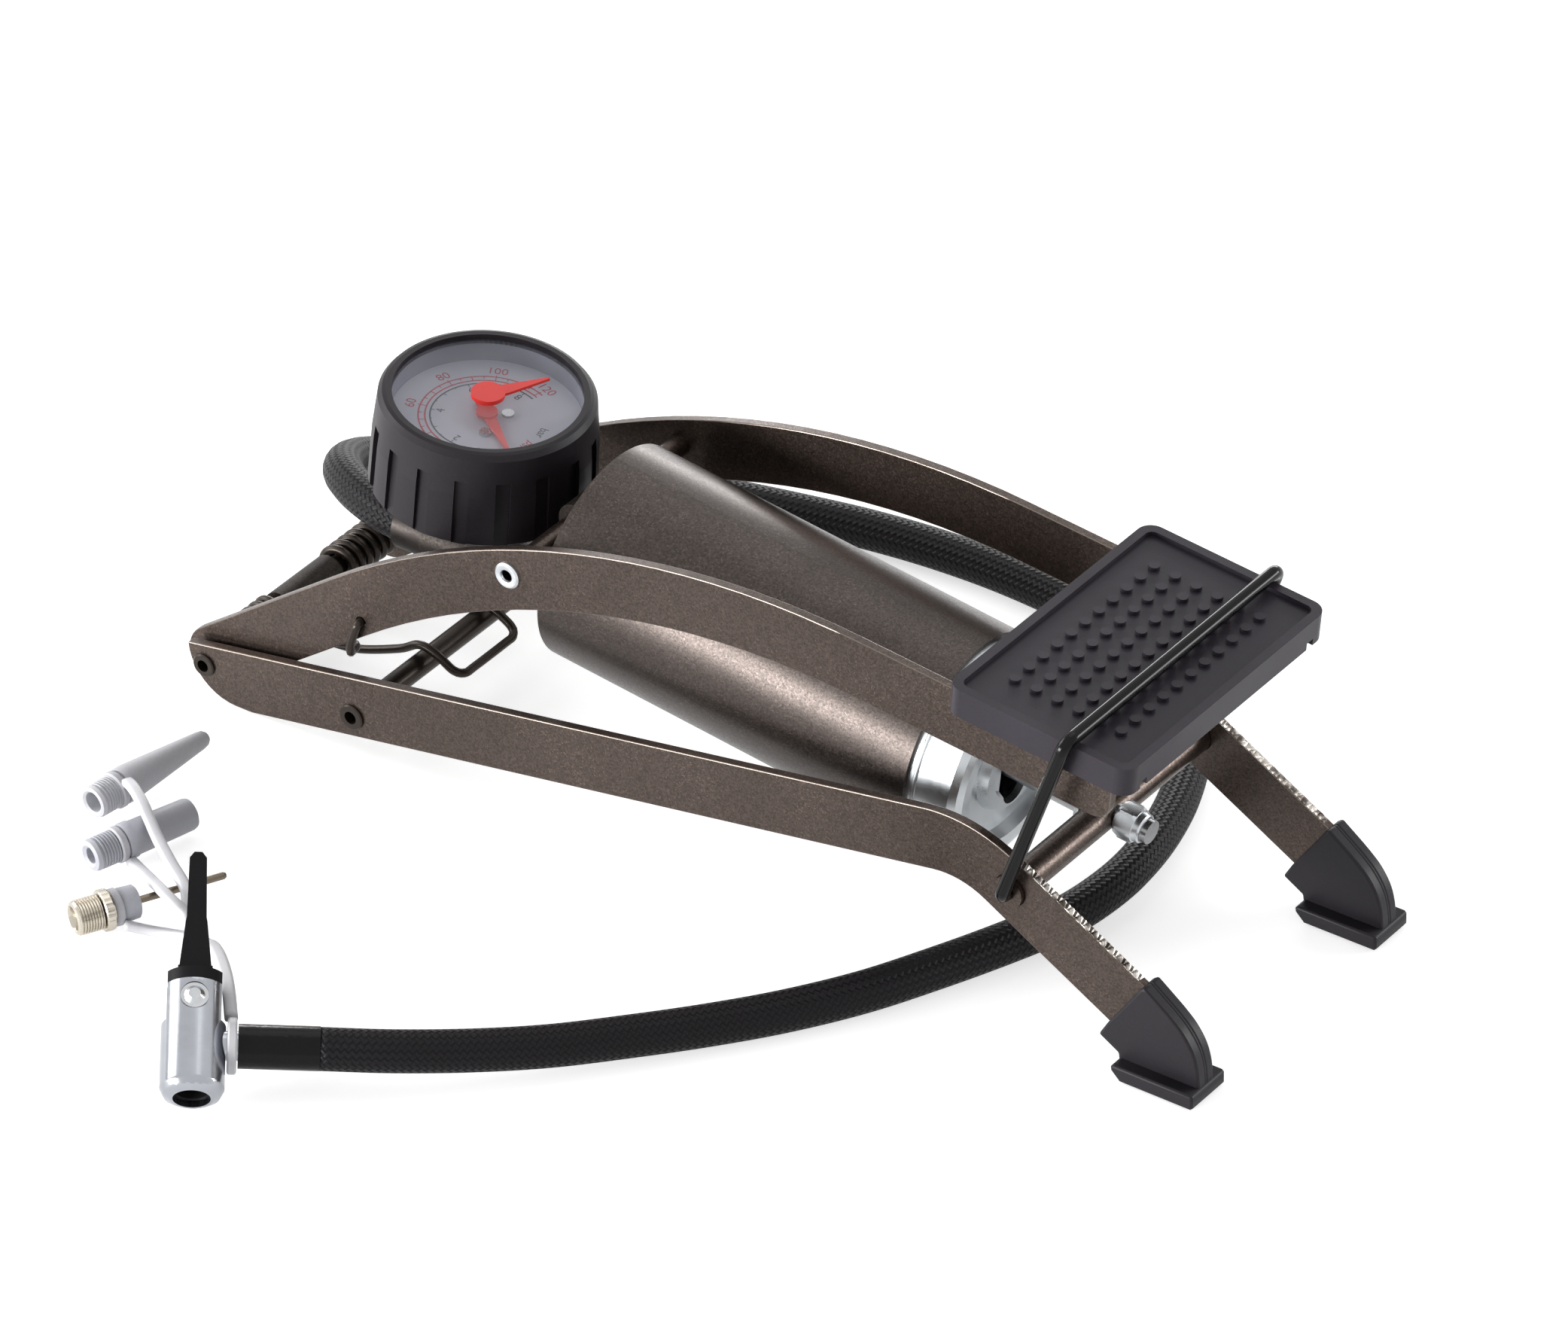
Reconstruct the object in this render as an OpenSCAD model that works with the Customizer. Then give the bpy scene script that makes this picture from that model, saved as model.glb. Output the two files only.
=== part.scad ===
// Single barrel foot pump with a scissor frame, a pressure gauge and a hose with a lever chuck.
// Millimetres, Z up, standing on the floor at Z = 0, pedal end toward +X.

/* [Frame] */
// thickness of the sheet the rails are cut from
rail_t = 2.4; // [2:0.1:2.8]
// width over the outer faces of the two lower rails
lower_spread = 78.4; // [77:0.2:84]
// free space between a lower rail and the upper rail beside it
rail_gap = 1.8; // [1.6:0.1:2.2]
// height of the lower rail strip
lower_h = 16.5; // [15:0.1:17]
// height of the upper rail strip
upper_h = 16; // [14:0.1:16]
// outside diameter of the rear axle
axle_d = 5; // [4:0.1:5.6]
// outside diameter of the pin that carries the barrel
head_pin_d = 5.6; // [5:0.1:6]
// outside diameter of the cross tubes that tie the rails
tie_d = 5.6; // [5:0.1:6]
// width of a rubber foot on the floor
foot_w = 13.6; // [12:0.2:15]

/* [Pedal and bail] */
// length of the pedal from back to front
pedal_l = 50.8; // [46:0.2:52]
// width of the pedal
pedal_w = 81.4; // [78:0.2:82]
// height of the studs on the pedal
stud_h = 1; // [0.6:0.1:1.1]
// wire diameter of the locking bail
bail_d = 3.5; // [3:0.1:3.6]

/* [Barrel] */
// outside diameter of the barrel tube
barrel_od = 55; // [50:0.5:56]
// wall of the barrel tube
barrel_wall = 1.2; // [1:0.1:1.6]
// length of the painted barrel tube
barrel_l = 106; // [102:0.5:107]
// how far the plated cap stands out of the tube
cap_out = 14; // [11:0.5:15]
// diameter of the piston rod
rod_d = 8; // [7:0.1:8.4]
// outside diameter of the crossbar that holds the rod
bar_d = 8; // [7.6:0.1:8.6]
// size across the flats of the lock nut
nut_af = 10; // [9:0.5:11]

/* [Gauge] */
// diameter of the rubber boot at its foot
boot_d = 55; // [54:0.5:57]
// diameter of the rubber boot at its top
boot_top_d = 51.8; // [50:0.2:53]
// diameter of the opening over the lens
lens_open_d = 45.8; // [44:0.2:47]
// number of flutes round the boot
boot_grooves = 17; // [12:1:22]

/* [Hose and chuck] */
// outside diameter of the hose
hose_d = 10.2; // [9:0.1:10.2]
// diameter of the chuck body
chuck_d = 15; // [14:0.1:15.4]
// length of the chuck body
chuck_l = 27.5; // [26.5:0.5:30]
// wire diameter of the return spring
spring_wire = 2.2; // [1.8:0.1:2.2]

/* [Hidden] */
$fn = 48;
// radial clearance of a running fit
run = 0.06;
// gap kept between parts that move past each other
gap = 0.3;

// widths of the frame, counted from the middle
lower_out = lower_spread / 2;
lower_in = lower_out - rail_t;
upper_out = lower_in - rail_gap;
upper_in = upper_out - rail_t;

// pivots in the side view, counted from the rear axle and the floor
axle = [0, 8.7];
head = [90.9, 66.6];
bar = [237.3, 37.1];
tie = [45.1, 11];

// points along an arc of the side view
function arc(mid, r, a0, a1, n) = [for (i = [0 : n]) let (a = a0 + (a1 - a0) * i / n) mid + r * [cos(a), sin(a)]];

// lower rail: rising strip, round bend and leg, with a rounded toe that stands on the floor
rise = 9.65;
leg_fall = 30.15;
low_z0 = 6;
bend_r = 30;
apex = [224.8, low_z0 + 224.8 * tan(rise)];
bend_cut = bend_r * tan((rise + leg_fall) / 2);
bend_mid = apex - bend_cut * [cos(rise), sin(rise)] + bend_r * [sin(rise), -cos(rise)];
leg_end = apex + 60 * [cos(leg_fall), -sin(leg_fall)];
leg_side = lower_h / 2 * [sin(leg_fall), cos(leg_fall)];
low_half = lower_h / 2 / cos(rise);
toe_r = 14;
toe = [9.1, toe_r];
toe_d = (low_z0 + low_half) * cos(rise) + toe[0] * sin(rise) - toe[1] * cos(rise);
toe_a = rise + 180 - asin(toe_d / toe_r);
knee_x = (low_half - low_z0) / tan(rise);
lower_pts = concat(arc(toe, toe_r, toe_a, 270, 10), [[knee_x, 0]],
    arc(bend_mid, bend_r - lower_h / 2, 90 + rise, 90 - leg_fall, 8), [leg_end - leg_side, leg_end + leg_side],
    arc(bend_mid, bend_r + lower_h / 2, 90 - leg_fall, 90 + rise, 10));

// upper rail: round rear end, straight start, long arc and straight front
up_rise = 35.65;
up_fall = 6;
up_r = 217;
up_start = axle + 51.8 * [cos(up_rise), sin(up_rise)];
up_mid = up_start + up_r * [sin(up_rise), -cos(up_rise)];
up_arc_end = up_mid + up_r * [sin(up_fall), cos(up_fall)];
up_along = [cos(up_fall), -sin(up_fall)];
up_across = [sin(up_fall), cos(up_fall)];
up_nose = 5;
up_front = up_arc_end + 71.8 * up_along;
up_side = upper_h / 2 * up_across;
nose_mid = up_front - up_nose * up_along - (upper_h / 2 - up_nose) * up_across;
upper_pts = concat(arc(axle, upper_h / 2, 90 + up_rise, 180, 5), arc(axle, upper_h / 2, 190, 270 + up_rise, 10),
    arc(up_mid, up_r - upper_h / 2, 90 + up_rise, 90 - up_fall, 20),
    arc(nose_mid, up_nose, -90 - up_fall, -up_fall, 6), [up_front + up_side],
    arc(up_mid, up_r + upper_h / 2, 90 - up_fall, 90 + up_rise, 20));
hook = [45.7, 36.1];
pedal_tie = up_arc_end + 53.5 * up_along;

// pedal: its own axes start at the middle of the top rear edge
seat_z = -5.6;
pedal_at = up_arc_end + 28.4 * up_along + (upper_h / 2 - seat_z) * up_across;
tie_in_pedal = [(pedal_tie - pedal_at) * up_along, (pedal_tie - pedal_at) * up_across];
rim = 2.4;
panel_drop = 1.2;

// barrel axis: through the crossbar, a set distance below the head pin
head_drop = 10.6;
reach = norm(head - bar);
tilt = atan2(head[1] - bar[1], bar[0] - head[0]) - asin(head_drop / reach);
head_s = sqrt(reach * reach - head_drop * head_drop);
barrel_r = barrel_od / 2;
bore_r = barrel_r - barrel_wall;
tube_rear = 144.9;
tube_front = tube_rear - barrel_l;
plug_l = 8;
cap_face = tube_front - cap_out;
cap_wall = 1;
rod_r = rod_d / 2;
bar_r = bar_d / 2;
bail_r = bail_d / 2;
bail_y = lower_out + 4;
bail_reach = pedal_at + 34.9 * up_along + (bail_r + gap) * up_across - bar;
bail_lean = atan2(bail_reach[0], bail_reach[1]);
bail_l = norm(bail_reach);
thread_r = 3;
piston_s = 122;
piston_l = 13;

// gauge: leans toward the pedal, heights are counted along its axis from the foot of the boot
gauge_x = 56.8;
gauge_z = 61.9;
gauge_lean = 5.8;
gauge_h = 26;
gauge_top = gauge_z + gauge_h;
boot_r = boot_d / 2;
case_r = 24;
lens_t = 1.2;
lens_z = gauge_top - 1.5 - lens_t;
dial_z = gauge_top - 7.6;
screw_at = [[5.2, 51], [6.6, -56]];
man_z = 40.7;
man_r = 7;
man_x = 41.8;

// feet at the end of the legs
foot_wall = 1.95;
foot_l = 22.9;

// rear end and front end of the whole pump set the middle of the frame
rear_x = -upper_h / 2;
foot_x = 291.5;
origin_x = (rear_x + foot_x) / 2;

// hose route, middle line from the manifold to the sleeve on the chuck
hose_z = hose_d / 2 + 0.1;
loop_pts = [[man_x - gap, 0, man_z], [32, 0, man_z], [24, 1.2, 40.6], [14, 5.2, 39.8], [5, 11.5, 37.8],
    [-1.8, 20, 33.8], [-6, 29.6, 28.8], [-7.2, 40, 23.2], [-6, 50, 17.6], [-1.5, 60, 12.8],
    [6, 69, 9.2], [16, 77.2, 6.8], [28, 84, 5.4], [36, 87.4, hose_z], [44, 90.4, hose_z]];
run_pts = [[44, 90.4, hose_z], [52, 93.4, hose_z], [62, 96, hose_z], [76, 99.4, hose_z], [95, 103.4, hose_z],
    [115, 105.8, hose_z], [136, 106.2, hose_z], [158, 104, hose_z], [179, 98, hose_z],
    [197, 87.5, hose_z], [211, 73, hose_z], [221, 55, hose_z], [227, 37, hose_z],
    [229.8, 20, hose_z], [229.5, 5, hose_z], [227, -8, hose_z], [222.3, -21, hose_z],
    [215.4, -37, hose_z], [206.6, -55, hose_z], [196, -71.5, hose_z], [184.3, -86.3, hose_z],
    [172.4, -100.4, 5.6], [160.4, -114.4, 6.4], [147.7, -127.4, 7.7], [134.4, -139.7, 9.4], [121.4, -149.7, 10.7]];

// chuck: stands on the lower edge of its mouth, its own X rises from the mouth to the lever
chuck_at = [105.5, -177.4];
chuck_turn = 125.4;
chuck_tip = 27;
chuck_roll = 5;
chuck_r = chuck_d / 2;
mouth_z = chuck_r * cos(chuck_tip) + 0.02;
barb_s = 13.8;
barb_r = 3.4;
sleeve_y = chuck_r + 2.8;
sleeve_l = 18.8;
valve_r = 3.85;
pin_s = chuck_l - 4.5;
lever_h = 2 * chuck_r - 7.6;
slot_h = lever_h + 0.8;
core_s = 9.5;
collar_l = 3;

// loose adaptors on the floor: mouth, height of the axis and heading
cone_at = [11.1, -96.6];
cone_z = 5.4;
cone_turn = 82;
plug_at = [24.3, -114.1];
plug_z = 5.3;
plug_turn = 72.5;
pin_at = [37.2, -136.1];
pin_z = 5.3;
pin_turn = 61.8;
tether_r = 1.25;
stem_pts = [[102.2, -156.8, 15.6], [97, -150, 15.6], [91.5, -143.6, 14.2], [85.7, -137.6, 12], [77.4, -131, 9],
    [71, -127.2, 6.2], [63.6, -124.4, 3.6], [57, -124.2, 2], [51.4, -125.8, 1.8], [46.5, -128.6, 3]];
plug_tether = [[66.2, -125.3, 4.8], [62.2, -124, 5.9], [58, -122.6, 7], [50, -120.2, 8], [46.4, -118.9, 8.4],
    [41, -114.4, 6.6], [37.6, -110.4, 3.6], [35, -107.8, 1.8], [31, -106.1, 1.6]];
cone_tether = [[61.5, -123.2, 6.1], [58, -119, 7.2], [53.5, -114.2, 8.2], [45.5, -109.3, 8.9], [37.7, -104.2, 9.6],
    [32.4, -100.6, 10.8], [28, -97.6, 11.8], [23, -94, 11.6], [19.4, -91.5, 10.8], [16.6, -89.6, 9.6]];

// return spring: half of the wire, from the hook in the rail to the middle of the loop
wire_r = spring_wire / 2;
coil_r = axle_d / 2 + 1.8;
coil_out = upper_in - 1.6;
coil_in = 12;
coil_a0 = 108;
coil_a1 = 278;
coil_turns = 6;
coil_sweep = coil_a1 - coil_a0 + 360 * coil_turns;
coil_steps = ceil(coil_sweep / 45);
hook_y = upper_out + wire_r + 0.4;
tail_y = upper_in - wire_r - 0.4;
tail_pts = [[hook[0], -upper_out, hook[1]], [hook[0], -hook_y, hook[1]],
    [43.5, -hook_y, 30.2], [43.5, -hook_y, 27.2], [41.4, -tail_y, 25.7], [34.4, -tail_y, 23.8]];
loop_half = 11.5;
bow_pts = [[14, -loop_half, 6], [25, -loop_half, 7.4], [38, -loop_half, 12.4], [44.2, -loop_half, 15.9],
    [49.2, -loop_half, 15.2], [56.6, -loop_half, 11.2]];
function coil_point(i) = let (t = i / coil_steps, a = coil_a0 + t * coil_sweep)
    [axle[0] + coil_r * cos(a), -coil_out + t * (coil_out - coil_in), axle[1] + coil_r * sin(a)];
function rounded(p) = let (n = len(p)) concat([p[0]],
    [for (i = [0 : n - 2], f = [0.25, 0.75])
        if (!(i == 0 && f == 0.25) && !(i == n - 2 && f == 0.75)) p[i] + f * (p[i + 1] - p[i])], [p[n - 1]]);
coil_pts = [for (i = [0 : coil_steps]) coil_point(i)];
half_wire = concat(rounded(tail_pts), coil_pts, rounded(bow_pts));
wire_n = len(half_wire);
wire_pts = concat(half_wire, [for (i = [wire_n - 1 : -1 : 0]) [half_wire[i][0], -half_wire[i][1], half_wire[i][2]]]);
self_gap = min([for (i = [0 : coil_steps], j = [0 : coil_steps])
    if (abs(i - j) > 5) norm(coil_pts[i] - coil_pts[j])]) - spring_wire;
echo(spring_self_gap = self_gap);

// sweep of a round section along points, carried along without twist
function unit(v) = v / norm(v);
function heading(p, i) = unit(i == 0 ? p[1] - p[0] : i == len(p) - 1 ? p[i] - p[i - 1]
    : unit(p[i + 1] - p[i]) + unit(p[i] - p[i - 1]));
function across(v, t) = unit(v - (v * t) * t);
function sides(p, first) = [for (i = 0, v = across(first, heading(p, 0)); i < len(p);
    i = i + 1, v = i < len(p) ? across(v, heading(p, i)) : v) v];
module sweep(p, r, n, first) {
    v = sides(p, first);
    pts = [for (i = [0 : len(p) - 1], k = [0 : n - 1]) let (t = heading(p, i), w = cross(t, v[i]))
        p[i] + r * (cos(360 * k / n) * v[i] + sin(360 * k / n) * w)];
    m = len(p);
    walls = [for (i = [0 : m - 2], k = [0 : n - 1], h = [0, 1]) let (a = i * n + k, b = i * n + (k + 1) % n)
        h == 0 ? [a, b, a + n] : [b, b + n, a + n]];
    polyhedron(pts, concat([[for (k = [0 : n - 1]) k]], [[for (k = [n - 1 : -1 : 0]) (m - 1) * n + k]],
        [for (f = walls) [f[2], f[1], f[0]]]));
}

// small building blocks
module strip(p, q, h) {
    translate(p) rotate(atan2(q[1] - p[1], q[0] - p[0])) translate([0, -h / 2]) square([norm(q - p), h]);
}
module side_plate(y, t) {
    translate([0, y + t, 0]) rotate([90, 0, 0]) linear_extrude(t) children();
}
module across_y(at, r, l) {
    translate([at[0], l / 2, at[1]]) rotate([90, 0, 0]) cylinder(r = r, h = l);
}
module flared_tube(at, r, bore, flare, l) {
    translate([at[0], 0, at[1]]) rotate([90, 0, 0]) rotate_extrude()
        polygon([[bore, -l / 2], [flare - 0.3, -l / 2], [flare, -l / 2 + 0.3], [flare, -l / 2 + 0.8],
            [r, -l / 2 + 0.8], [r, l / 2 - 0.8], [flare, l / 2 - 0.8], [flare, l / 2 - 0.3],
            [flare - 0.3, l / 2], [bore, l / 2]]);
}
module on_axis(s) {
    translate([bar[0], 0, bar[1]]) rotate([0, tilt - 90, 0]) translate([0, 0, s]) children();
}
module at_gauge(z) {
    translate([gauge_x, 0, gauge_z]) rotate([0, gauge_lean, 0]) translate([0, 0, z - gauge_z]) children();
}
module in_pedal() {
    translate([pedal_at[0], 0, pedal_at[1]]) rotate([0, up_fall, 0]) children();
}
module in_chuck(s) {
    translate([chuck_at[0], chuck_at[1], mouth_z]) rotate([chuck_roll, -chuck_tip, chuck_turn])
        translate([s, 0, 0]) children();
}
module lay_along(at, z, turn) {
    translate([at[0], at[1], z]) rotate(turn) rotate([0, 90, 0]) children();
}

// lower frame
module lower_rail_shape() {
    difference() {
        polygon(lower_pts);
        translate(axle) circle(axle_d / 2);
        translate(tie) circle(tie_d / 2);
        translate(bar) circle(bar_r + run);
    }
}
module lower_rail_left() {
    color("#625b57") side_plate(lower_in, rail_t) lower_rail_shape();
}
module lower_rail_right() {
    color("#625b57") side_plate(-lower_out, rail_t) lower_rail_shape();
}
module rear_axle() {
    color("#4a4643") flared_tube(axle, axle_d / 2, 1.6, axle_d / 2 + 0.6, 2 * lower_out + 1.6);
}
module rear_bush() {
    color("#6d6f72") difference() {
        across_y(axle, axle_d / 2 + 2, 2 * coil_in - 4);
        across_y(axle, axle_d / 2, 2 * coil_in);
    }
}
module lower_cross_tube() {
    color("#4a4643") flared_tube(tie, tie_d / 2, 1.7, tie_d / 2 + 0.6, 2 * lower_out + 1.6);
}
module foot_shape() {
    translate([foot_x, 0]) polygon([[-28.6, 8.3], [-18.5, 24.9], [-15, 27.8], [-10.2, 22.6], [-4.9, 16.6],
        [-1.9, 10.4], [-0.6, 4], [-23.4, 4], [-23.4, 4.9]]);
}
module foot(y) {
    difference() {
        union() {
            side_plate(y - rail_t / 2 - foot_wall, rail_t + 2 * foot_wall) foot_shape();
            translate([foot_x - foot_l, y - foot_w / 2, 0]) cube([foot_l, foot_w, 4.8]);
        }
        side_plate(y - rail_t / 2, rail_t) strip(apex, leg_end, lower_h);
    }
}
module front_foot_left() {
    color("#2c2b30") foot((lower_in + lower_out) / 2);
}
module front_foot_right() {
    color("#2c2b30") foot(-(lower_in + lower_out) / 2);
}
module return_spring() {
    color("#3a3634") sweep(wire_pts, wire_r, 6, [1, 0, 0]);
}

// pedal frame
module upper_rail_shape() {
    difference() {
        polygon(upper_pts);
        translate(axle) circle(axle_d / 2 + run);
        translate(head) circle(head_pin_d / 2);
        translate(pedal_tie) circle(tie_d / 2);
        translate(hook) circle(wire_r + gap);
    }
}
module upper_rail_left() {
    color("#665f5a") side_plate(upper_in, rail_t) upper_rail_shape();
}
module upper_rail_right() {
    color("#665f5a") side_plate(-upper_out, rail_t) upper_rail_shape();
}
module head_pin() {
    color("#c9cbcd") flared_tube(head, head_pin_d / 2, 1.8, head_pin_d / 2 + 0.6, 2 * upper_out + 1.6);
}
module pedal_cross_tube() {
    color("#5a534e") flared_tube(pedal_tie, tie_d / 2, 1.7, tie_d / 2 + 0.5, 2 * upper_out + 1.6);
}
module pedal_block(x0, x1, half, z0, z1, r) {
    translate([0, 0, z0]) linear_extrude(z1 - z0) union() {
        translate([x0 + r, -half]) square([x1 - x0 - 2 * r, 2 * half]);
        translate([x0, -half + r]) square([x1 - x0, 2 * half - 2 * r]);
        for (x = [x0 + r, x1 - r], y = [-half + r, half - r]) translate([x, y]) circle(r);
    }
}
module pedal_pad() {
    half = pedal_w / 2;
    lug_y = upper_in - 3;
    color("#2e2c33") in_pedal() difference() {
        union() {
            difference() {
                pedal_block(0, pedal_l, half, -7.5, 0, 4);
                pedal_block(2, pedal_l - 2, half - 2, -9, -3, 3);
                pedal_block(rim, pedal_l - rim, half - rim, -panel_drop, 1, 2);
            }
            for (i = [0 : 5], j = [-5 : 5])
                translate([pedal_l / 2 - 14.8 + 5.9 * i, 5.6 * j, -2]) cylinder(r = 1.4, h = stud_h + 2 - panel_drop, $fn = 16);
            for (m = [-1, 1]) {
                translate([3, m * (upper_in + rail_t / 2) - 2.4, seat_z]) cube([38, 4.8, -3 - seat_z + 0.5]);
                translate([tie_in_pedal[0] - 6, m * (lug_y + 1.45) - 1.5, tie_in_pedal[1] - 5])
                    cube([12, 3, -2.5 - tie_in_pedal[1] + 5]);
            }
        }
        translate([tie_in_pedal[0], half, tie_in_pedal[1]]) rotate([90, 0, 0]) cylinder(r = tie_d / 2, h = 2 * half);
        for (m = [-1, 1]) translate([-1, m * (upper_in + rail_t / 2) - rail_t / 2 - run, seat_z - 20])
            cube([pedal_l + 2, rail_t + 2 * run, 20]);
    }
}

// bail, crossbar and rod
module lock_bail() {
    bend = 2.9;
    heel = bail_y - lower_out - 1.4;
    ease = 0;
    arm = bail_l - bend;
    color("#211f20") translate([bar[0], 0, bar[1]]) rotate([0, bail_lean, 0]) union() {
        for (m = [-1, 1]) {
            translate([0, m * bail_y, heel - ease]) cylinder(r = bail_r, h = arm - heel + 2 * ease);
            translate([0, m * (bail_y - bend), arm]) rotate([0, -90, 0]) rotate(m > 0 ? 0 : 270)
                rotate_extrude(angle = 90) translate([bend, 0]) circle(bail_r, $fn = 24);
            translate([0, m * (bail_y - heel), heel]) rotate([0, -90, 0]) rotate(m > 0 ? 90 : 180)
                rotate_extrude(angle = 90) translate([heel, 0]) circle(bail_r, $fn = 24);
            translate([0, m * (bail_y - heel + ease), 0]) rotate([m * 90, 0, 0]) cylinder(r = bail_r, h = 10);
        }
        translate([0, bail_y - bend + ease, bail_l]) rotate([90, 0, 0])
            cylinder(r = bail_r, h = 2 * (bail_y - bend + ease));
    }
}
module crossbar() {
    bore = bail_r + run;
    l = 2 * lower_out + 2.4;
    color("#665f5a") difference() {
        across_y(bar, bar_r, l);
        across_y(bar, bore, l + 2);
        on_axis(-20) cylinder(r = thread_r, h = 40);
    }
}
module piston_rod() {
    color("#b9bbbd") on_axis(-bar_r - 8.6) {
        cylinder(r = thread_r, h = 2 * bar_r + 9.8);
        translate([0, 0, 2 * bar_r + 9.8]) cylinder(r = rod_r, h = 128 - bar_r - 1.2);
    }
}
module rod_washer() {
    color("#b4b6b8") on_axis(bar_r) difference() {
        cylinder(r = rod_r + 2.4, h = 1.2);
        translate([0, 0, -1]) cylinder(r = thread_r, h = 4);
    }
}
module lock_nut() {
    color("#c4c7ca") on_axis(-bar_r - 7) difference() {
        union() {
            translate([0, 0, 2]) cylinder(r = nut_af / 2 / cos(30), h = 5, $fn = 6);
            cylinder(r1 = nut_af / 2 - 1.2, r2 = nut_af / 2 - 0.4, h = 2);
        }
        translate([0, 0, -1]) cylinder(r = thread_r, h = 12);
    }
}

// barrel
module barrel_tube() {
    color("#6a635e") on_axis(tube_front) difference() {
        cylinder(r = barrel_r, h = barrel_l, $fn = 96);
        translate([0, 0, -1]) cylinder(r = bore_r, h = barrel_l + 2, $fn = 96);
    }
}
module front_cap() {
    r = bore_r;
    w = cap_wall;
    color("#c6c9cc") on_axis(cap_face) difference() {
        rotate_extrude($fn = 96) polygon([[0, 2], [8, 2], [9, 0.6], [12, 0.6], [13, 3], [r - 7, 3], [r - 6, 0],
            [r - 3, 0], [r - 1, 0.8], [r, 2.6], [r, cap_out + 8], [r - w, cap_out + 8], [r - w, 4],
            [r - 5, 2], [r - 5.6, 4.6], [12.4, 4.6], [11.4, 2.4], [9.6, 2.4], [8.6, 4], [0, 4]]);
        for (x = [0, -7]) translate([x, 0, -2]) cylinder(r = rod_r + 0.5, h = 9);
        translate([-7, -rod_r - 0.5, -2]) cube([7, 2 * rod_r + 1, 9]);
    }
}
module barrel_head() {
    ear = head_pin_d / 2 + 2.2;
    color("#5d5752") difference() {
        union() {
            on_axis(tube_rear - plug_l) cylinder(r = bore_r, h = plug_l, $fn = 96);
            across_y(head, ear, 17);
            on_axis(tube_rear - 1) translate([0, -9, 0]) cube([head_drop + ear - 0.4, 18, head_s - tube_rear + 1]);
            translate([man_x, 0, man_z]) rotate([0, 90, 0]) cylinder(r = man_r, h = 55);
        }
        across_y(head, head_pin_d / 2 + run, 30);
        at_gauge(gauge_z - 9) cylinder(r = boot_r + 0.3, h = 40, $fn = 96);
        at_gauge(man_z) cylinder(r = 3.5, h = 20);
        translate([man_x - 1, 0, man_z]) rotate([0, 90, 0]) cylinder(r = 2, h = 70);
    }
}
module check_valve() {
    color("#8c8f92") translate([man_x + 30, 0, man_z]) rotate([0, 90, 0]) difference() {
        cylinder(r = 2, h = 12);
        translate([0, 0, -1]) cylinder(r = 1, h = 14);
    }
}
module gauge_stem() {
    color("#b08d4a") at_gauge(man_z + 3) {
        cylinder(r = 3.5, h = man_r - 1.4);
        translate([0, 0, man_r - 1.4]) cylinder(r = 6.4, h = 8, $fn = 6);
        translate([0, 0, man_r + 6.6]) cylinder(r = 4, h = gauge_z - man_z - 3 - man_r - 6.6);
    }
}
module gauge_boot() {
    h = gauge_top - gauge_z;
    mid = (boot_d + boot_top_d) / 4;
    color("#232324") at_gauge(gauge_z) difference() {
        rotate_extrude($fn = 96) polygon([[4, 0], [boot_r - 1, 0], [boot_r, 1], [mid + 0.4, h * 0.55],
            [boot_top_d / 2 + 0.3, h - 1.6], [boot_top_d / 2 - 0.7, h - 0.3], [boot_top_d / 2 - 1.6, h],
            [lens_open_d / 2, h], [lens_open_d / 2, lens_z + lens_t - gauge_z],
            [case_r, lens_z + lens_t - gauge_z], [case_r, 2.4], [4, 2.4]]);
        for (i = [0 : boot_grooves - 1]) rotate(i * 360 / boot_grooves - 1.8)
            translate([boot_r - 0.8, -1.8, -1]) rotate([0, -3, 0]) cube([4, 3.6, h * 0.7 + 1]);
    }
}
module gauge_case() {
    color("#8f9294") at_gauge(gauge_z + 2.4) difference() {
        cylinder(r = case_r, h = lens_z - gauge_z - 2.4);
        translate([0, 0, 1]) cylinder(r = case_r - 1, h = 40);
        translate([0, 0, -1]) cylinder(r = 4, h = 4);
    }
}
module gauge_dial() {
    color("#d8d9dc") at_gauge(dial_z - 0.8) difference() {
        cylinder(r = case_r - 1, h = 0.8, $fn = 72);
        translate([0, 0, -1]) cylinder(r = 1.2, h = 3);
        for (q = screw_at) rotate(q[1]) translate([q[0], 0, -1]) cylinder(r = 0.8, h = 3);
    }
}
module dial_screws() {
    color("#c2c4c6") at_gauge(dial_z) for (q = screw_at) rotate(q[1]) translate([q[0], 0, 0]) {
        cylinder(r = 1.5, h = 0.7);
        translate([0, 0, -3]) cylinder(r = 0.8, h = 3.2);
    }
}
module bourdon_tube() {
    color("#b08d4a") at_gauge(gauge_z + 8.4) {
        rotate_extrude(angle = 270) translate([14, 0]) circle(1.8, $fn = 20);
        translate([14, 0, -5]) cylinder(r = 2.6, h = 5.4);
    }
}
module gauge_lens() {
    color([0.85, 0.88, 0.9, 0.35]) at_gauge(lens_z) difference() {
        cylinder(r = case_r, h = lens_t, $fn = 72);
        translate([0, 0, -1]) cylinder(r = 1.2, h = 4);
    }
}
module hose_ferrule() {
    color("#b9b3aa") translate([man_x, 0, man_z]) rotate([0, -90, 0]) difference() {
        cylinder(r = hose_d / 2 + 1.3, h = 9);
        translate([0, 0, -1]) cylinder(r = hose_d / 2 + gap, h = 12);
    }
}
module gauge_needle() {
    color("#e0705c") at_gauge(dial_z) {
        translate([0, 0, -5]) cylinder(r = 1.2 - run, h = 6);
        translate([0, 0, 1]) cylinder(r = 2.6, h = 0.9);
        rotate(-34) translate([0, 0, 1]) linear_extrude(0.6)
            polygon([[-6, -1.2], [2, -1.5], [17, -0.3], [17, 0.3], [2, 1.5], [-6, 1.2]]);
    }
}
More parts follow.
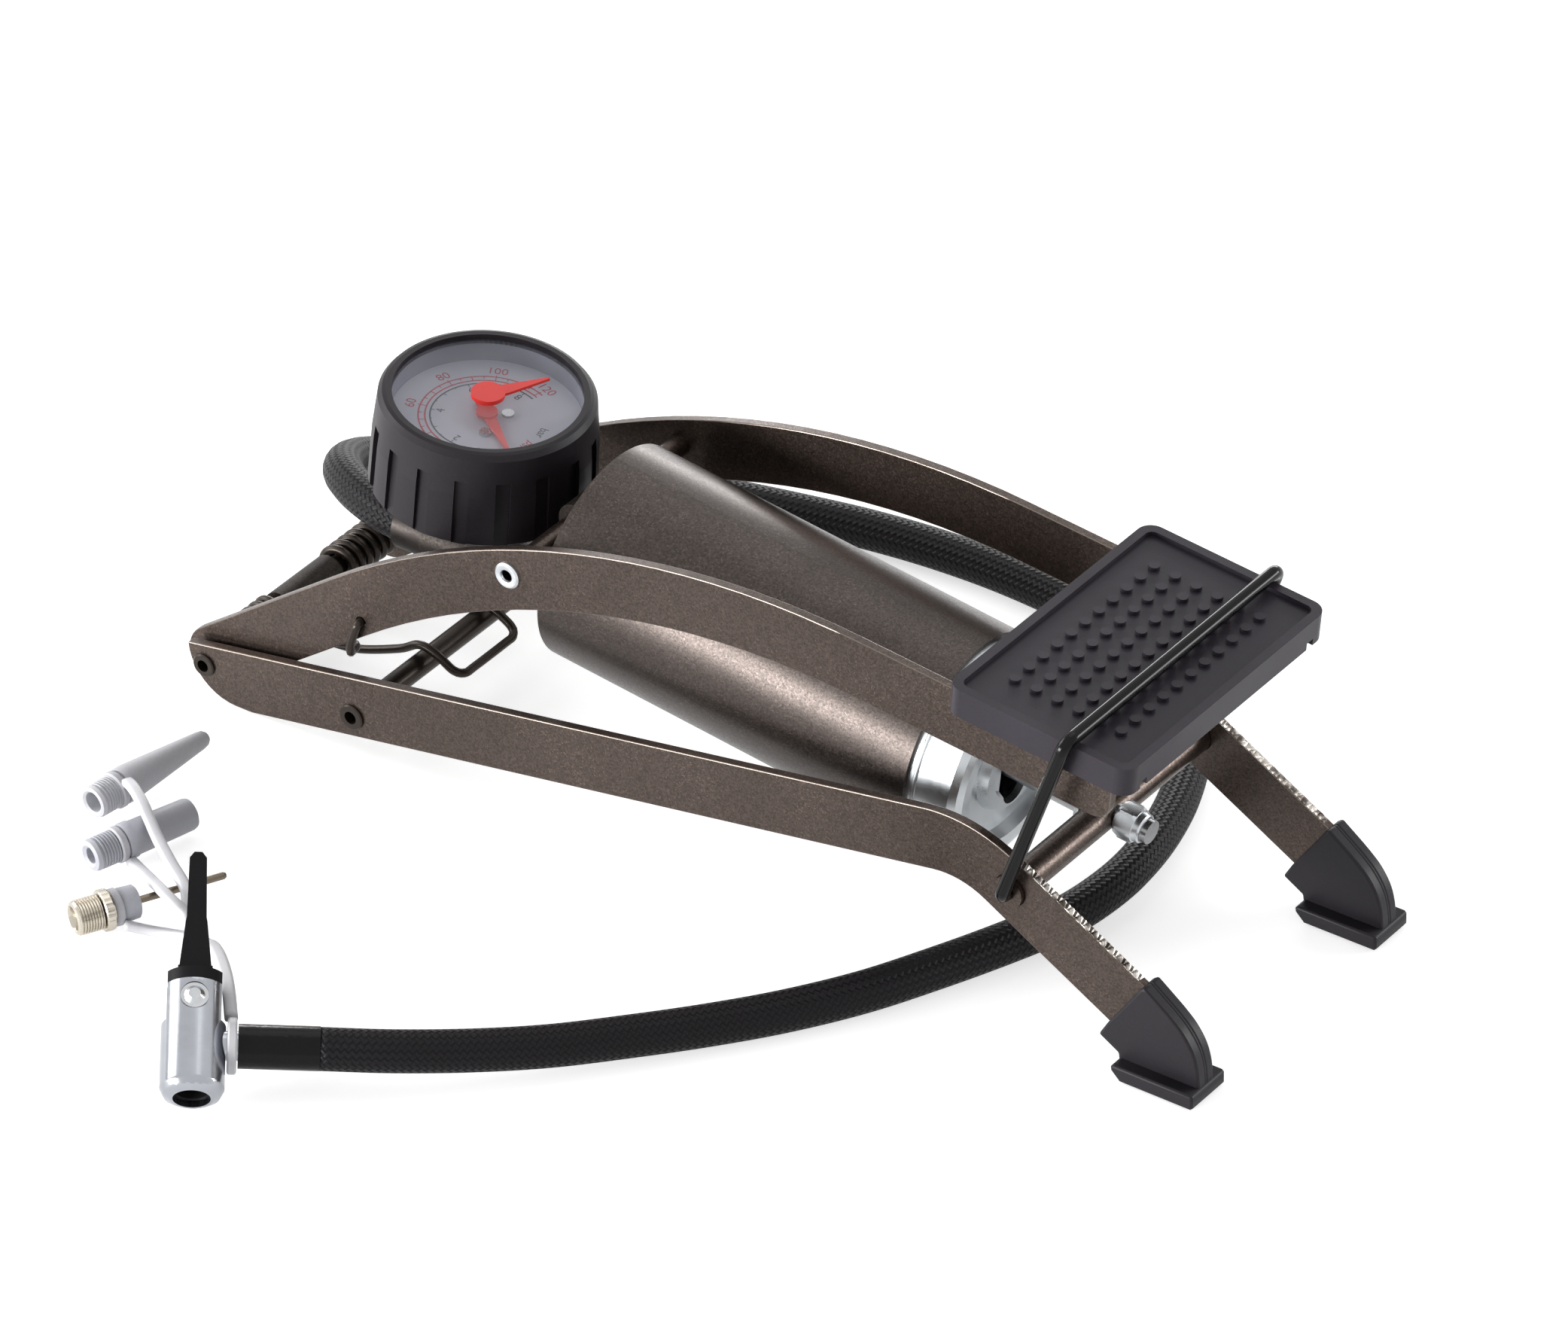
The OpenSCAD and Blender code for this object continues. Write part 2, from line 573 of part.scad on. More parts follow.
module marker_pointer() {
    color("#d01812") at_gauge(lens_z) {
        translate([0, 0, -0.4]) cylinder(r = 1.2 - run, h = 2);
        translate([0, 0, lens_t + 0.3]) cylinder(r = 4.1, h = 1.1);
        rotate(63) translate([0, 0, lens_t + 0.3]) linear_extrude(0.7)
            polygon([[0, -2], [5, -1.7], [16.2, -0.25], [16.2, 0.25], [5, 1.7], [0, 2]]);
    }
}

// piston inside the barrel
module piston() {
    color("#77797c") on_axis(piston_s) difference() {
        union() {
            cylinder(r = bore_r - 1.6, h = piston_l);
            translate([0, 0, piston_l - 2.5]) cylinder(r = bore_r - run, h = 2.5, $fn = 96);
            cylinder(r = bore_r - run, h = 2.5, $fn = 96);
        }
        translate([0, 0, -1]) cylinder(r = 13, h = piston_l - 2);
    }
}
module piston_cup() {
    color("#3b3a39") on_axis(piston_s + 2.5) difference() {
        cylinder(r = bore_r - run, h = piston_l - 5, $fn = 96);
        translate([0, 0, -1]) cylinder(r = bore_r - 1.6, h = piston_l);
    }
}

// hose, chuck and adaptors
module hose_loop() {
    color("#1d1c1f") sweep(loop_pts, hose_d / 2, 10, [0, 0, 1]);
}
module hose_run() {
    color("#1d1c1f") sweep(run_pts, hose_d / 2, 10, [0, 0, 1]);
}
module hose_sleeve() {
    color("#161517") in_chuck(barb_s) translate([0, -sleeve_y, 0]) rotate([90, 0, 0]) cylinder(r = hose_d / 2 + 0.1, h = sleeve_l);
}
module chuck_body() {
    r = chuck_r;
    color("#c9cccf") in_chuck(0) difference() {
        union() {
            difference() {
                rotate([0, 90, 0]) rotate_extrude() polygon([[0, 0], [r - 2.4, 0], [r - 0.9, 0.8], [r, 2.6], [r, chuck_l],
                    [0, chuck_l]]);
                translate([core_s, -20, -21]) cube([60, 40, 20]);
            }
            translate([barb_s, -5, 0]) rotate([90, 0, 0]) cylinder(r = barb_r, h = sleeve_y - 5);
        }
        rotate([0, 90, 0]) translate([0, 0, -1]) cylinder(r = 4.4, h = 17);
        translate([pin_s, 0, -20]) cylinder(r = 1.6, h = 40);
        translate([pin_s, 0, r - 0.8]) cylinder(r = 3.4, h = 5);
        translate([pin_s - 4.7, -20, -slot_h / 2]) cube([60, 40, slot_h]);
    }
}
module chuck_core() {
    color("#1b1a1c") in_chuck(0) difference() {
        intersection() {
            translate([core_s, 0, 0]) rotate([0, 90, 0]) cylinder(r = chuck_r, h = chuck_l + collar_l - core_s);
            union() {
                translate([0, -20, -21]) cube([60, 40, 20]);
                translate([chuck_l, -20, slot_h / 2]) cube([60, 40, 20]);
            }
        }
        rotate([0, 90, 0]) translate([0, 0, -1]) cylinder(r = 4.4, h = 17);
        translate([pin_s, 0, -20]) cylinder(r = 1.6, h = 40);
        translate([barb_s, 0, 0]) rotate([90, 0, 0]) cylinder(r = barb_r, h = 20);
        translate([pin_s - 4.7, -20, -slot_h / 2]) cube([60, 40, slot_h]);
    }
}
module chuck_gasket() {
    color("#222123") in_chuck(2) rotate([0, 90, 0]) difference() {
        cylinder(r = 4.4, h = 14);
        translate([0, 0, -1]) cylinder(r = valve_r + 0.05, h = 16);
    }
}
module chuck_pin() {
    color("#c4c7ca") in_chuck(pin_s) {
        translate([0, 0, -chuck_r + 0.8]) cylinder(r = 1.6, h = 2 * chuck_r - 1.6);
        translate([0, 0, chuck_r - 0.8]) cylinder(r = 3.2, h = 0.6);
        translate([0, 0, chuck_r - 0.2]) cylinder(r1 = 2.4, r2 = 1.4, h = 1);
    }
}
module chuck_lever() {
    color("#1b1a1c") in_chuck(pin_s) difference() {
        union() {
            translate([0, 0, -lever_h / 2]) linear_extrude(lever_h) union() {
                circle(4.15);
                polygon([[0, -4.15], [9.5, -4], [9.5, 4], [0, 4.15]]);
            }
            translate([0, 0, -2.6]) linear_extrude(5.2) polygon([[8, -3.9], [21.5, -2.5], [22.5, -2.3], [38, -2],
                [39.5, -0.9], [39.5, 0.9], [38, 2], [22.5, 2.3], [21.5, 2.5], [8, 3.9]]);
        }
        translate([0, 0, -10]) cylinder(r = 1.6 + run, h = 20);
    }
}
module eyelet(r) {
    difference() {
        cylinder(r = r + 1, h = 2);
        translate([0, 0, -1]) cylinder(r = r, h = 4);
    }
}
module strap() {
    color("#e3e3e0") {
        in_chuck(barb_s) translate([0, -chuck_r - 0.3, 0]) rotate([90, 0, 0]) difference() {
            cylinder(r = 6.6, h = 2.2);
            translate([0, 0, -1]) cylinder(r = barb_r + 0.05, h = 5);
        }
        lay_along(cone_at, cone_z, cone_turn) translate([0, 0, 6.5]) eyelet(4.25);
        lay_along(plug_at, plug_z, plug_turn) translate([0, 0, 7]) eyelet(4.15);
        lay_along(pin_at, pin_z, pin_turn) translate([0, 0, 9.7]) eyelet(3.65);
        sweep(stem_pts, tether_r, 8, [0, 0, 1]);
        sweep(plug_tether, tether_r, 8, [0, 0, 1]);
        sweep(cone_tether, tether_r, 8, [0, 0, 1]);
    }
}
module cone_nozzle() {
    color("#a6a7ab") lay_along(cone_at, cone_z, cone_turn) rotate_extrude()
        polygon([[2.6, 0], [3.9, 0], [4.2, 1], [4.2, 8.6], [4.6, 9], [4.6, 11.5], [2.1, 36.6], [1.4, 37.6], [0, 37.6],
            [0, 12], [2.6, 12]]);
}
module plug_nozzle() {
    color("#9b9da3") lay_along(plug_at, plug_z, plug_turn) rotate_extrude()
        polygon([[2, 0], [3.8, 0], [4.1, 1], [4.1, 9], [4.6, 9.2], [4.6, 12], [4, 28.6], [3.2, 29.4], [2, 29.4]]);
}
module ball_needle() {
    color("#b9a27c") lay_along(pin_at, pin_z, pin_turn) rotate_extrude()
        polygon([[2.2, 0], [4, 0], [4.4, 0.6], [4.4, 7], [5.1, 7.2], [5.1, 9.4], [3.6, 9.6], [3, 15], [0.9, 15.4],
            [0.9, 38.6], [0.5, 39], [0, 39], [0, 6], [2.2, 6]]);
}

translate([-origin_x, 0, 0]) {
    lower_rail_left();
    lower_rail_right();
    rear_axle();
    rear_bush();
    lower_cross_tube();
    front_foot_left();
    front_foot_right();
    return_spring();
    upper_rail_left();
    upper_rail_right();
    head_pin();
    pedal_cross_tube();
    pedal_pad();
    lock_bail();
    crossbar();
    piston_rod();
    rod_washer();
    lock_nut();
    barrel_tube();
    front_cap();
    barrel_head();
    check_valve();
    gauge_stem();
    gauge_boot();
    gauge_case();
    gauge_dial();
    dial_screws();
    bourdon_tube();
    gauge_lens();
    hose_ferrule();
    gauge_needle();
    marker_pointer();
    piston();
    piston_cup();
    hose_loop();
    hose_run();
    hose_sleeve();
    chuck_body();
    chuck_core();
    chuck_gasket();
    chuck_pin();
    chuck_lever();
    strap();
    cone_nozzle();
    plug_nozzle();
    ball_needle();
}
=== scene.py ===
"""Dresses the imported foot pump: camera, materials, hose and straps, return spring, dial print,
softened edges, feet and small parts, then the stage and its lamps."""

import math

import bmesh
import bpy
import numpy as np
from mathutils import Matrix, Vector


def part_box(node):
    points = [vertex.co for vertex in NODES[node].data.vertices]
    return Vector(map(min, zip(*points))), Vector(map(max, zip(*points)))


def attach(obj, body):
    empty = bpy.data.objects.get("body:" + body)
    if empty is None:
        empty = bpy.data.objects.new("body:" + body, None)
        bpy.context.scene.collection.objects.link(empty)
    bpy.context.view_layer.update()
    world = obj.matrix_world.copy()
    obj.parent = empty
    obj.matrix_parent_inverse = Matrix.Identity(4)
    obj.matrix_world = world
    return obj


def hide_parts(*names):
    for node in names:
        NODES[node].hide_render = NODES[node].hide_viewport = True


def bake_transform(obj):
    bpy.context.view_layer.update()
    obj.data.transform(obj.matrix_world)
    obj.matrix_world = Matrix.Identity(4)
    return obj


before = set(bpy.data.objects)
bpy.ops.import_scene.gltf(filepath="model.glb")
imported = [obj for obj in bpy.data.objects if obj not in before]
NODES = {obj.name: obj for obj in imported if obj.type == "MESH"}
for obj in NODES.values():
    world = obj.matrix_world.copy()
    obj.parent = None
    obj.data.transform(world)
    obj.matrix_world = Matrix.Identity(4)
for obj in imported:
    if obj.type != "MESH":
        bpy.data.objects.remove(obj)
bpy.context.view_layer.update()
ORIGIN_X = 141.75  # the CAD source counts X from the rear axle, the frame from the middle


def mm(x, y, z):
    """A point of the CAD source, in millimetres from the rear axle, as a point of the frame in metres."""
    return Vector(((x - ORIGIN_X) / 1000, y / 1000, z / 1000))


def link(obj):
    bpy.context.scene.collection.objects.link(obj)
    return obj


# ---- camera, fitted to the photo

PHOTO_W, FOCAL_PX, SENSOR = 2083, 15000, 36.0
CAMERA_AT = (1459.1, -1763.8, 1535.1)
CAMERA_RIGHT = Vector((0.80940, 0.58694, -0.01904))
CAMERA_UP = Vector((-0.31696, 0.46391, 0.82723))
CAMERA_BACK = Vector((0.49437, -0.66353, 0.56153))
CLIP = (0.1, 30)


def make_camera():
    data = bpy.data.cameras.new("camera")
    cam = link(bpy.data.objects.new("camera", data))
    turn = Matrix((CAMERA_RIGHT, CAMERA_UP, CAMERA_BACK)).transposed().to_4x4()
    turn.translation = mm(*CAMERA_AT)
    cam.matrix_world = turn
    data.sensor_fit = "HORIZONTAL"
    data.sensor_width = SENSOR
    data.lens = FOCAL_PX / PHOTO_W * SENSOR
    data.clip_start, data.clip_end = CLIP
    bpy.context.scene.camera = cam


make_camera()


# ---- materials


def srgb(r, g, b):
    """A colour written as 0 to 255 screen values, as linear light."""
    one = lambda v: v / 12.92 if v <= 0.04045 else ((v + 0.055) / 1.055) ** 2.4
    return tuple(one(v / 255) for v in (r, g, b)) + (1.0,)


def scaled(c, k):
    return (c[0] * k, c[1] * k, c[2] * k, 1.0)


class Mat:
    """A node material with a Principled surface and short helpers."""

    def __init__(self, name, rough=0.5, metal=0.0, **sockets):
        self.m = bpy.data.materials.new(name)
        self.m.use_nodes = True
        self.n, self.l = self.m.node_tree.nodes, self.m.node_tree.links
        self.b = self.n["Principled BSDF"]
        self.b.inputs["Roughness"].default_value = rough
        self.b.inputs["Metallic"].default_value = metal
        for k, v in sockets.items():
            self.b.inputs[k.replace("_", " ")].default_value = v
        self.coord = self.n.new("ShaderNodeTexCoord")

    def wire(self, a, b):
        self.l.new(a, b)

    def noise(self, scale, detail=4, rough=0.6):
        t = self.n.new("ShaderNodeTexNoise")
        t.inputs["Scale"].default_value = scale
        t.inputs["Detail"].default_value = detail
        t.inputs["Roughness"].default_value = rough
        self.wire(self.coord.outputs["Object"], t.inputs["Vector"])
        return t.outputs["Fac"]

    def cells(self, scale):
        t = self.n.new("ShaderNodeTexVoronoi")
        t.inputs["Scale"].default_value = scale
        self.wire(self.coord.outputs["Object"], t.inputs["Vector"])
        return t

    def ramp(self, fac, stops):
        r = self.n.new("ShaderNodeValToRGB")
        e = r.color_ramp.elements
        while len(e) < len(stops):
            e.new(0.5)
        for i, (p, c) in enumerate(stops):
            e[i].position = p
            e[i].color = c
        self.wire(fac, r.inputs["Fac"])
        return r.outputs["Color"]

    def range(self, fac, lo, hi, from_lo=0.0, from_hi=1.0):
        r = self.n.new("ShaderNodeMapRange")
        for k, v in (("From Min", from_lo), ("From Max", from_hi), ("To Min", lo), ("To Max", hi)):
            r.inputs[k].default_value = v
        self.wire(fac, r.inputs["Value"])
        return r.outputs["Result"]

    def math(self, op, *values):
        m = self.n.new("ShaderNodeMath")
        m.operation = op
        for i, v in enumerate(values):
            if isinstance(v, (int, float)):
                m.inputs[i].default_value = v
            else:
                self.wire(v, m.inputs[i])
        return m.outputs["Value"]

    def sum(self, a, share_a, b, share_b):
        return self.math("ADD", self.math("MULTIPLY", a, share_a), self.math("MULTIPLY", b, share_b))

    def bump(self, height, strength, distance):
        b = self.n.new("ShaderNodeBump")
        b.inputs["Strength"].default_value = strength
        b.inputs["Distance"].default_value = distance
        self.wire(height, b.inputs["Height"])
        self.wire(b.outputs["Normal"], self.b.inputs["Normal"])

    def color(self, sock):
        self.wire(sock, self.b.inputs["Base Color"])

    def rough(self, sock):
        self.wire(sock, self.b.inputs["Roughness"])


NOISE_LOW, NOISE_HIGH = 0.3, 0.7  # most of a noise lies between these


def flaked(name, base, rough, metal, coat, coat_rough):
    """Metallic paint: small bright and dark flakes in a warm brown coat."""
    m = Mat(name, rough, metal, Coat_Weight=coat, Coat_Roughness=coat_rough)
    flake = m.n.new("ShaderNodeSeparateColor")
    m.wire(m.cells(2600).outputs["Color"], flake.inputs["Color"])
    tone = m.sum(flake.outputs["Red"], 0.7, m.noise(45, 3, 0.5), 0.3)
    shades = ((0.12, 0.62), (0.5, 1), (0.78, 1.2), (0.9, 1.9))
    m.color(m.ramp(tone, [(at, scaled(base, k)) for at, k in shades]))
    m.rough(m.range(flake.outputs["Green"], rough - 0.07, rough + 0.07))
    m.bump(flake.outputs["Blue"], 0.14, 3e-5)
    return m.m


def plated(name, base, rough, scratch):
    """Bright plating: drawn faintly cloudy, with fine scratches in the gloss."""
    m = Mat(name, rough, 1.0)
    cloud = m.noise(90, 4, 0.6)
    fine = m.noise(1600, 3, 0.7)
    m.color(m.ramp(cloud, [(NOISE_LOW, scaled(base, 0.88)), (NOISE_HIGH, base)]))
    m.rough(m.range(m.sum(cloud, 0.6, fine, 0.4), rough * 0.65, rough * 1.4, NOISE_LOW, NOISE_HIGH))
    m.bump(fine, scratch, 2e-5)
    return m.m


def grained(name, base, rough, metal, fine, spread, gloss_spread, skin, specular):
    """Plastic, rubber and plain paint: fine speckle over slow shade, uneven gloss and a fine skin."""
    m = Mat(name, rough, metal, Specular_IOR_Level=specular)
    speck = m.noise(fine, 3, 0.7)
    slow = m.noise(60, 3, 0.5)
    shades = ((NOISE_LOW, 1 - spread), (0.5, 1), (NOISE_HIGH, 1 + spread))
    m.color(m.ramp(m.sum(speck, 0.65, slow, 0.35), [(at, scaled(base, k)) for at, k in shades]))
    m.rough(m.range(slow, rough - gloss_spread, rough + gloss_spread, NOISE_LOW, NOISE_HIGH))
    m.bump(speck, 0.25, skin)
    return m.m


def lens():
    m = Mat("clear_lens", 0.06, 0.0, Alpha=0.1)
    cloud = m.noise(120, 2, 0.5)
    m.color(m.ramp(cloud, [(NOISE_LOW, srgb(205, 212, 224)), (NOISE_HIGH, srgb(225, 230, 238))]))
    m.rough(m.range(cloud, 0.04, 0.1, NOISE_LOW, NOISE_HIGH))
    return m.m


STRANDS = 18  # of each set around the hose


def braid():
    """Woven cover of the hose: two sets of slanting strands that pass over and under each other."""
    m = Mat("hose_braid", 0.46, 0.0, Specular_IOR_Level=0.16)
    uv = m.n.new("ShaderNodeSeparateXYZ")
    m.wire(m.coord.outputs["UV"], uv.inputs["Vector"])
    across = m.math("MULTIPLY", uv.outputs["X"], STRANDS * math.pi * 2)
    along = m.math("MULTIPLY", uv.outputs["Y"], STRANDS * math.pi * 2)
    a = m.math("SINE", m.math("MULTIPLY", m.math("ADD", across, along), 0.5))
    b = m.math("SINE", m.math("MULTIPLY", m.math("SUBTRACT", across, along), 0.5))
    over = m.math("GREATER_THAN", m.math("MULTIPLY", a, b), 0.0)
    under = m.math("SUBTRACT", 1.0, over)
    height = m.sum(m.math("ABSOLUTE", a), over, m.math("ABSOLUTE", b), under)
    # The colour follows the strands' height: dark in the hollows between strands and lighter on their crowns, painted
    # shade in the weave, with some random tone.
    shade = m.sum(height, 0.75, m.noise(3000, 3, 0.7), 0.25)
    m.color(m.ramp(shade, [(0.1, srgb(4, 3, 4)), (0.55, srgb(13, 11, 13)), (0.95, srgb(30, 27, 31))]))
    m.rough(m.range(shade, 0.6, 0.38))
    m.bump(height, 0.6, 0.00035)
    return m.m


def sheared():
    """Cut edge of the sheet, bare and torn into short facets, painted bright and dark: painted glints and shade over
    the bare metal.
    """
    m = Mat("sheared_edge", 0.35, 0.8)
    tone = m.sum(m.cells(420).outputs["Distance"], 0.7, m.noise(700), 0.5)
    m.color(m.ramp(tone, [(0.3, srgb(46, 41, 38)), (0.55, srgb(104, 96, 90)), (0.75, srgb(188, 182, 175))]))
    m.bump(tone, 0.8, 0.0004)
    return m.m


# look: material, colour, roughness, metal, coat, roughness of the coat
FLAKED = {
    "bronze": ("bronze_paint", (80, 69, 63), 0.36, 0.85, 0.14, 0.22),
    # barrel: a darker copy of the bronze paint, painted shade over the barrel
    "barrel": ("barrel_paint", (69, 61, 57), 0.35, 0.88, 0.26, 0.33),
    # head and rear bush: a still darker copy of the bronze paint, painted shade where they sit in shadow
    "cast": ("head_paint", (52, 46, 42), 0.5, 0.7, 0.0, 0.22),
}
# look: material, colour, roughness, strength of the scratches
PLATED = {
    # edge: lighter colour for the rails' rounded edges, a painted highlight along them
    "edge": ("cut_edge", (112, 103, 97), 0.34, 0.12),
    "plated": ("plated", (176, 179, 185), 0.2, 0.12),
    "zinc": ("zinc", (214, 218, 221), 0.34, 0.0),
    "plated_dull": ("plated_dull", (196, 198, 200), 0.27, 0.12),
    "steel": ("steel", (170, 171, 173), 0.3, 0.12),
    "brass": ("nickel_brass", (206, 199, 186), 0.24, 0.02),
    "pin_steel": ("pin_steel", (126, 116, 102), 0.35, 0.12),
    "ferrule": ("ferrule", (58, 54, 52), 0.45, 0.12),
}
# look: material, colour, roughness, metal, speckle scale, spread of shade, spread of gloss, skin in metres, specular
GRAINED = {
    "black_steel": ("black_steel", (56, 49, 44), 0.34, 0.7, 900, 0.2, 0.06, 2e-5, 0.5),
    "black_gloss": ("black_gloss", (9, 8, 9), 0.16, 0.0, 700, 0.2, 0.05, 1e-5, 0.2),
    "case": ("case_inside", (138, 139, 152), 0.55, 0.0, 900, 0.05, 0.05, 1e-5, 0.5),
    "pedal": ("pedal_plastic", (54, 50, 57), 0.36, 0.0, 2600, 0.16, 0.05, 4e-5, 0.22),
    "lever": ("lever_plastic", (15, 13, 16), 0.42, 0.0, 1800, 0.2, 0.06, 4e-5, 0.14),
    "boot": ("boot_rubber", (32, 28, 32), 0.44, 0.0, 1400, 0.18, 0.06, 4e-5, 0.22),
    "foot": ("foot_rubber", (33, 30, 35), 0.46, 0.0, 1400, 0.18, 0.06, 6e-5, 0.26),
    "dial": ("dial_face", (204, 203, 214), 0.6, 0.0, 700, 0.03, 0.04, 1e-5, 0.5),
    "needle": ("needle_paint", (236, 66, 52), 0.4, 0.0, 1500, 0.06, 0.05, 1e-5, 0.5),
    "marker": ("marker_plastic", (226, 44, 36), 0.42, 0.0, 1500, 0.06, 0.05, 1e-5, 0.5),
    "print_red": ("print_red", (190, 40, 50), 0.6, 0.0, 2500, 0.12, 0.04, 1e-5, 0.5),
    "print_black": ("print_black", (46, 48, 56), 0.6, 0.0, 2500, 0.15, 0.04, 1e-5, 0.5),
    "sleeve": ("sleeve_black", (15, 14, 16), 0.18, 0.0, 170, 0.2, 0.06, 8e-4, 0.16),
    "grey": ("grey_plastic", (198, 198, 203), 0.5, 0.0, 1200, 0.06, 0.05, 4e-5, 0.5),
    "grey_dark": ("grey_plastic_dark", (182, 183, 191), 0.5, 0.0, 1200, 0.06, 0.05, 4e-5, 0.5),
    "strap": ("white_strap", (222, 222, 226), 0.4, 0.0, 900, 0.04, 0.05, 3e-5, 0.5),
    "seal": ("seal_rubber", (28, 26, 27), 0.6, 0.0, 1200, 0.2, 0.06, 4e-5, 0.14),
}
STRAP_GLOW, STRAP_DEPTH = 0.25, 0.002  # how much light the strap lets in, and how far in metres


def make_materials():
    mats = {}
    for recipe, table in ((flaked, FLAKED), (plated, PLATED), (grained, GRAINED)):
        for look, (name, colour, *rest) in table.items():
            mats[look] = recipe(name, srgb(*colour), *rest)
    strap = mats["strap"].node_tree.nodes["Principled BSDF"].inputs
    strap["Subsurface Weight"].default_value = STRAP_GLOW
    strap["Subsurface Radius"].default_value = (STRAP_DEPTH,) * 3
    mats["lens"] = lens()
    mats["braid"] = braid()
    mats["sheared"] = sheared()
    return mats


MATS = make_materials()


def dress(obj, look):
    obj.data.materials.clear()
    obj.data.materials.append(MATS[look])


# ---- mesh helpers


def mesh_object(name, verts, faces, look, smooth=True):
    me = bpy.data.meshes.new(name)
    me.from_pydata([tuple(v) for v in verts], [], faces)
    me.validate()
    me.update()
    if smooth:
        me.polygons.foreach_set("use_smooth", [True] * len(me.polygons))
    obj = link(bpy.data.objects.new(name, me))
    dress(obj, look)
    return obj


def face_outward(obj, merge=0.0):
    """Turns all faces outward, after joining points closer than merge metres."""
    bm = bmesh.new()
    bm.from_mesh(obj.data)
    if merge:
        bmesh.ops.remove_doubles(bm, verts=bm.verts, dist=merge)
    bmesh.ops.recalc_face_normals(bm, faces=bm.faces)
    bm.to_mesh(obj.data)
    bm.free()


def crease(obj, degrees):
    """Smooth shading that stays sharp at edges over the angle."""
    bm = bmesh.new()
    bm.from_mesh(obj.data)
    for e in bm.edges:
        e.smooth = not (len(e.link_faces) == 2 and e.calc_face_angle(0) > math.radians(degrees))
    bm.to_mesh(obj.data)
    bm.free()


def curve_through(points, step):
    """Smooth line through the points: dense points and the index of each given one."""
    p = [np.array(q, float) for q in points]
    p = [2 * p[0] - p[1], *p, 2 * p[-1] - p[-2]]
    line, marks = [], []
    for i in range(1, len(p) - 2):
        a, b, c, d = p[i - 1 : i + 3]
        n = max(2, math.ceil(np.linalg.norm(c - b) / step))
        marks.append(len(line))
        for k in range(n):
            t = k / n
            line.append(
                0.5 * (2 * b + (c - a) * t + (2 * a - 5 * b + 4 * c - d) * t**2 + (3 * b - a - 3 * c + d) * t**3)
            )
    marks.append(len(line))
    line.append(p[-2])
    return np.array(line), marks


def length_of(line):
    return float(np.linalg.norm(np.diff(line, axis=0), axis=1).sum())


def sides_along(line, first):
    """Two directions square to the line at each point, carried along without twist."""
    t = np.gradient(line, axis=0)
    t /= np.linalg.norm(t, axis=1)[:, None]
    ups = []
    v = np.array(first, float)
    for i in range(len(line)):
        v = v - (v @ t[i]) * t[i]
        v /= np.linalg.norm(v)
        ups.append(v)
    up = np.array(ups)
    return np.cross(t, up), up


def tube(name, line, section, look, first=(0, 0, 1), span=None, uv_round=None):
    """A closed tube: the section's (side, up) points swept along the line. span picks a stretch of the line,
    and uv_round, the length around the tube, adds a UV map that runs around and along it."""
    side, up = sides_along(line, first)
    at = np.concatenate([[0], np.cumsum(np.linalg.norm(np.diff(line, axis=0), axis=1))])
    i0, i1 = span or (0, len(line) - 1)
    k = len(section)
    verts = [line[i] + a * side[i] + b * up[i] for i in range(i0, i1 + 1) for a, b in section]
    rings = i1 - i0 + 1
    faces = [
        (i * k + j, i * k + (j + 1) % k, (i + 1) * k + (j + 1) % k, (i + 1) * k + j)
        for i in range(rings - 1)
        for j in range(k)
    ]
    faces += [tuple(range(k - 1, -1, -1)), tuple((rings - 1) * k + j for j in range(k))]
    obj = mesh_object(name, verts, faces, look)
    me = obj.data
    if uv_round:
        layer = me.uv_layers.new(name="along")
        for poly in me.polygons:
            ring = [me.loops[q].vertex_index for q in poly.loop_indices]
            wrap = {v % k for v in ring} == {0, k - 1}
            for q, v in zip(poly.loop_indices, ring):
                u = 1.0 if wrap and v % k == 0 else (v % k) / k
                layer.data[q].uv = (u, at[i0 + v // k] / uv_round)
    face_outward(obj)
    return obj


def ring_section(r, n):
    return [(r * math.cos(2 * math.pi * i / n), r * math.sin(2 * math.pi * i / n)) for i in range(n)]


def flat_section(w, h, n=14, squareness=0.6):
    """A flat strap's section with well rounded edges."""
    out = []
    for i in range(n):
        c, s = math.cos(2 * math.pi * i / n), math.sin(2 * math.pi * i / n)
        out.append((w / 2 * math.copysign(abs(c) ** squareness, c), h / 2 * math.copysign(abs(s) ** squareness, s)))
    return out


TURNED_CREASE, SAME_POINT = 35, 1e-7


def revolved(name, profile, place, look, n=40, wave=None):
    """A turned part: profile of (radius, along) points about the local Z of place, closed on itself."""
    verts, faces = [], []
    if profile[0] != profile[-1]:
        profile = profile + profile[:1]
    k = len(profile)
    for i in range(n):
        a = 2 * math.pi * i / n
        for j, (r, z) in enumerate(profile):
            rr = r * (1 + (wave(j, i) if wave else 0.0))
            verts.append(place @ Vector((rr * math.cos(a) / 1000, rr * math.sin(a) / 1000, z / 1000)))
    for i in range(n):
        b = (i + 1) % n
        faces += [(i * k + j, b * k + j, b * k + j + 1, i * k + j + 1) for j in range(k - 1)]
    obj = mesh_object(name, verts, faces, look)
    face_outward(obj, SAME_POINT)
    crease(obj, TURNED_CREASE)
    return obj


def lying(at, z, turn):
    """Place of a turned part that lies on the floor, its local Z along the heading."""
    m = Matrix.Rotation(math.radians(turn), 4, "Z") @ Matrix.Rotation(math.radians(90), 4, "Y")
    m.translation = mm(at[0], at[1], z)
    return m


# ---- hose

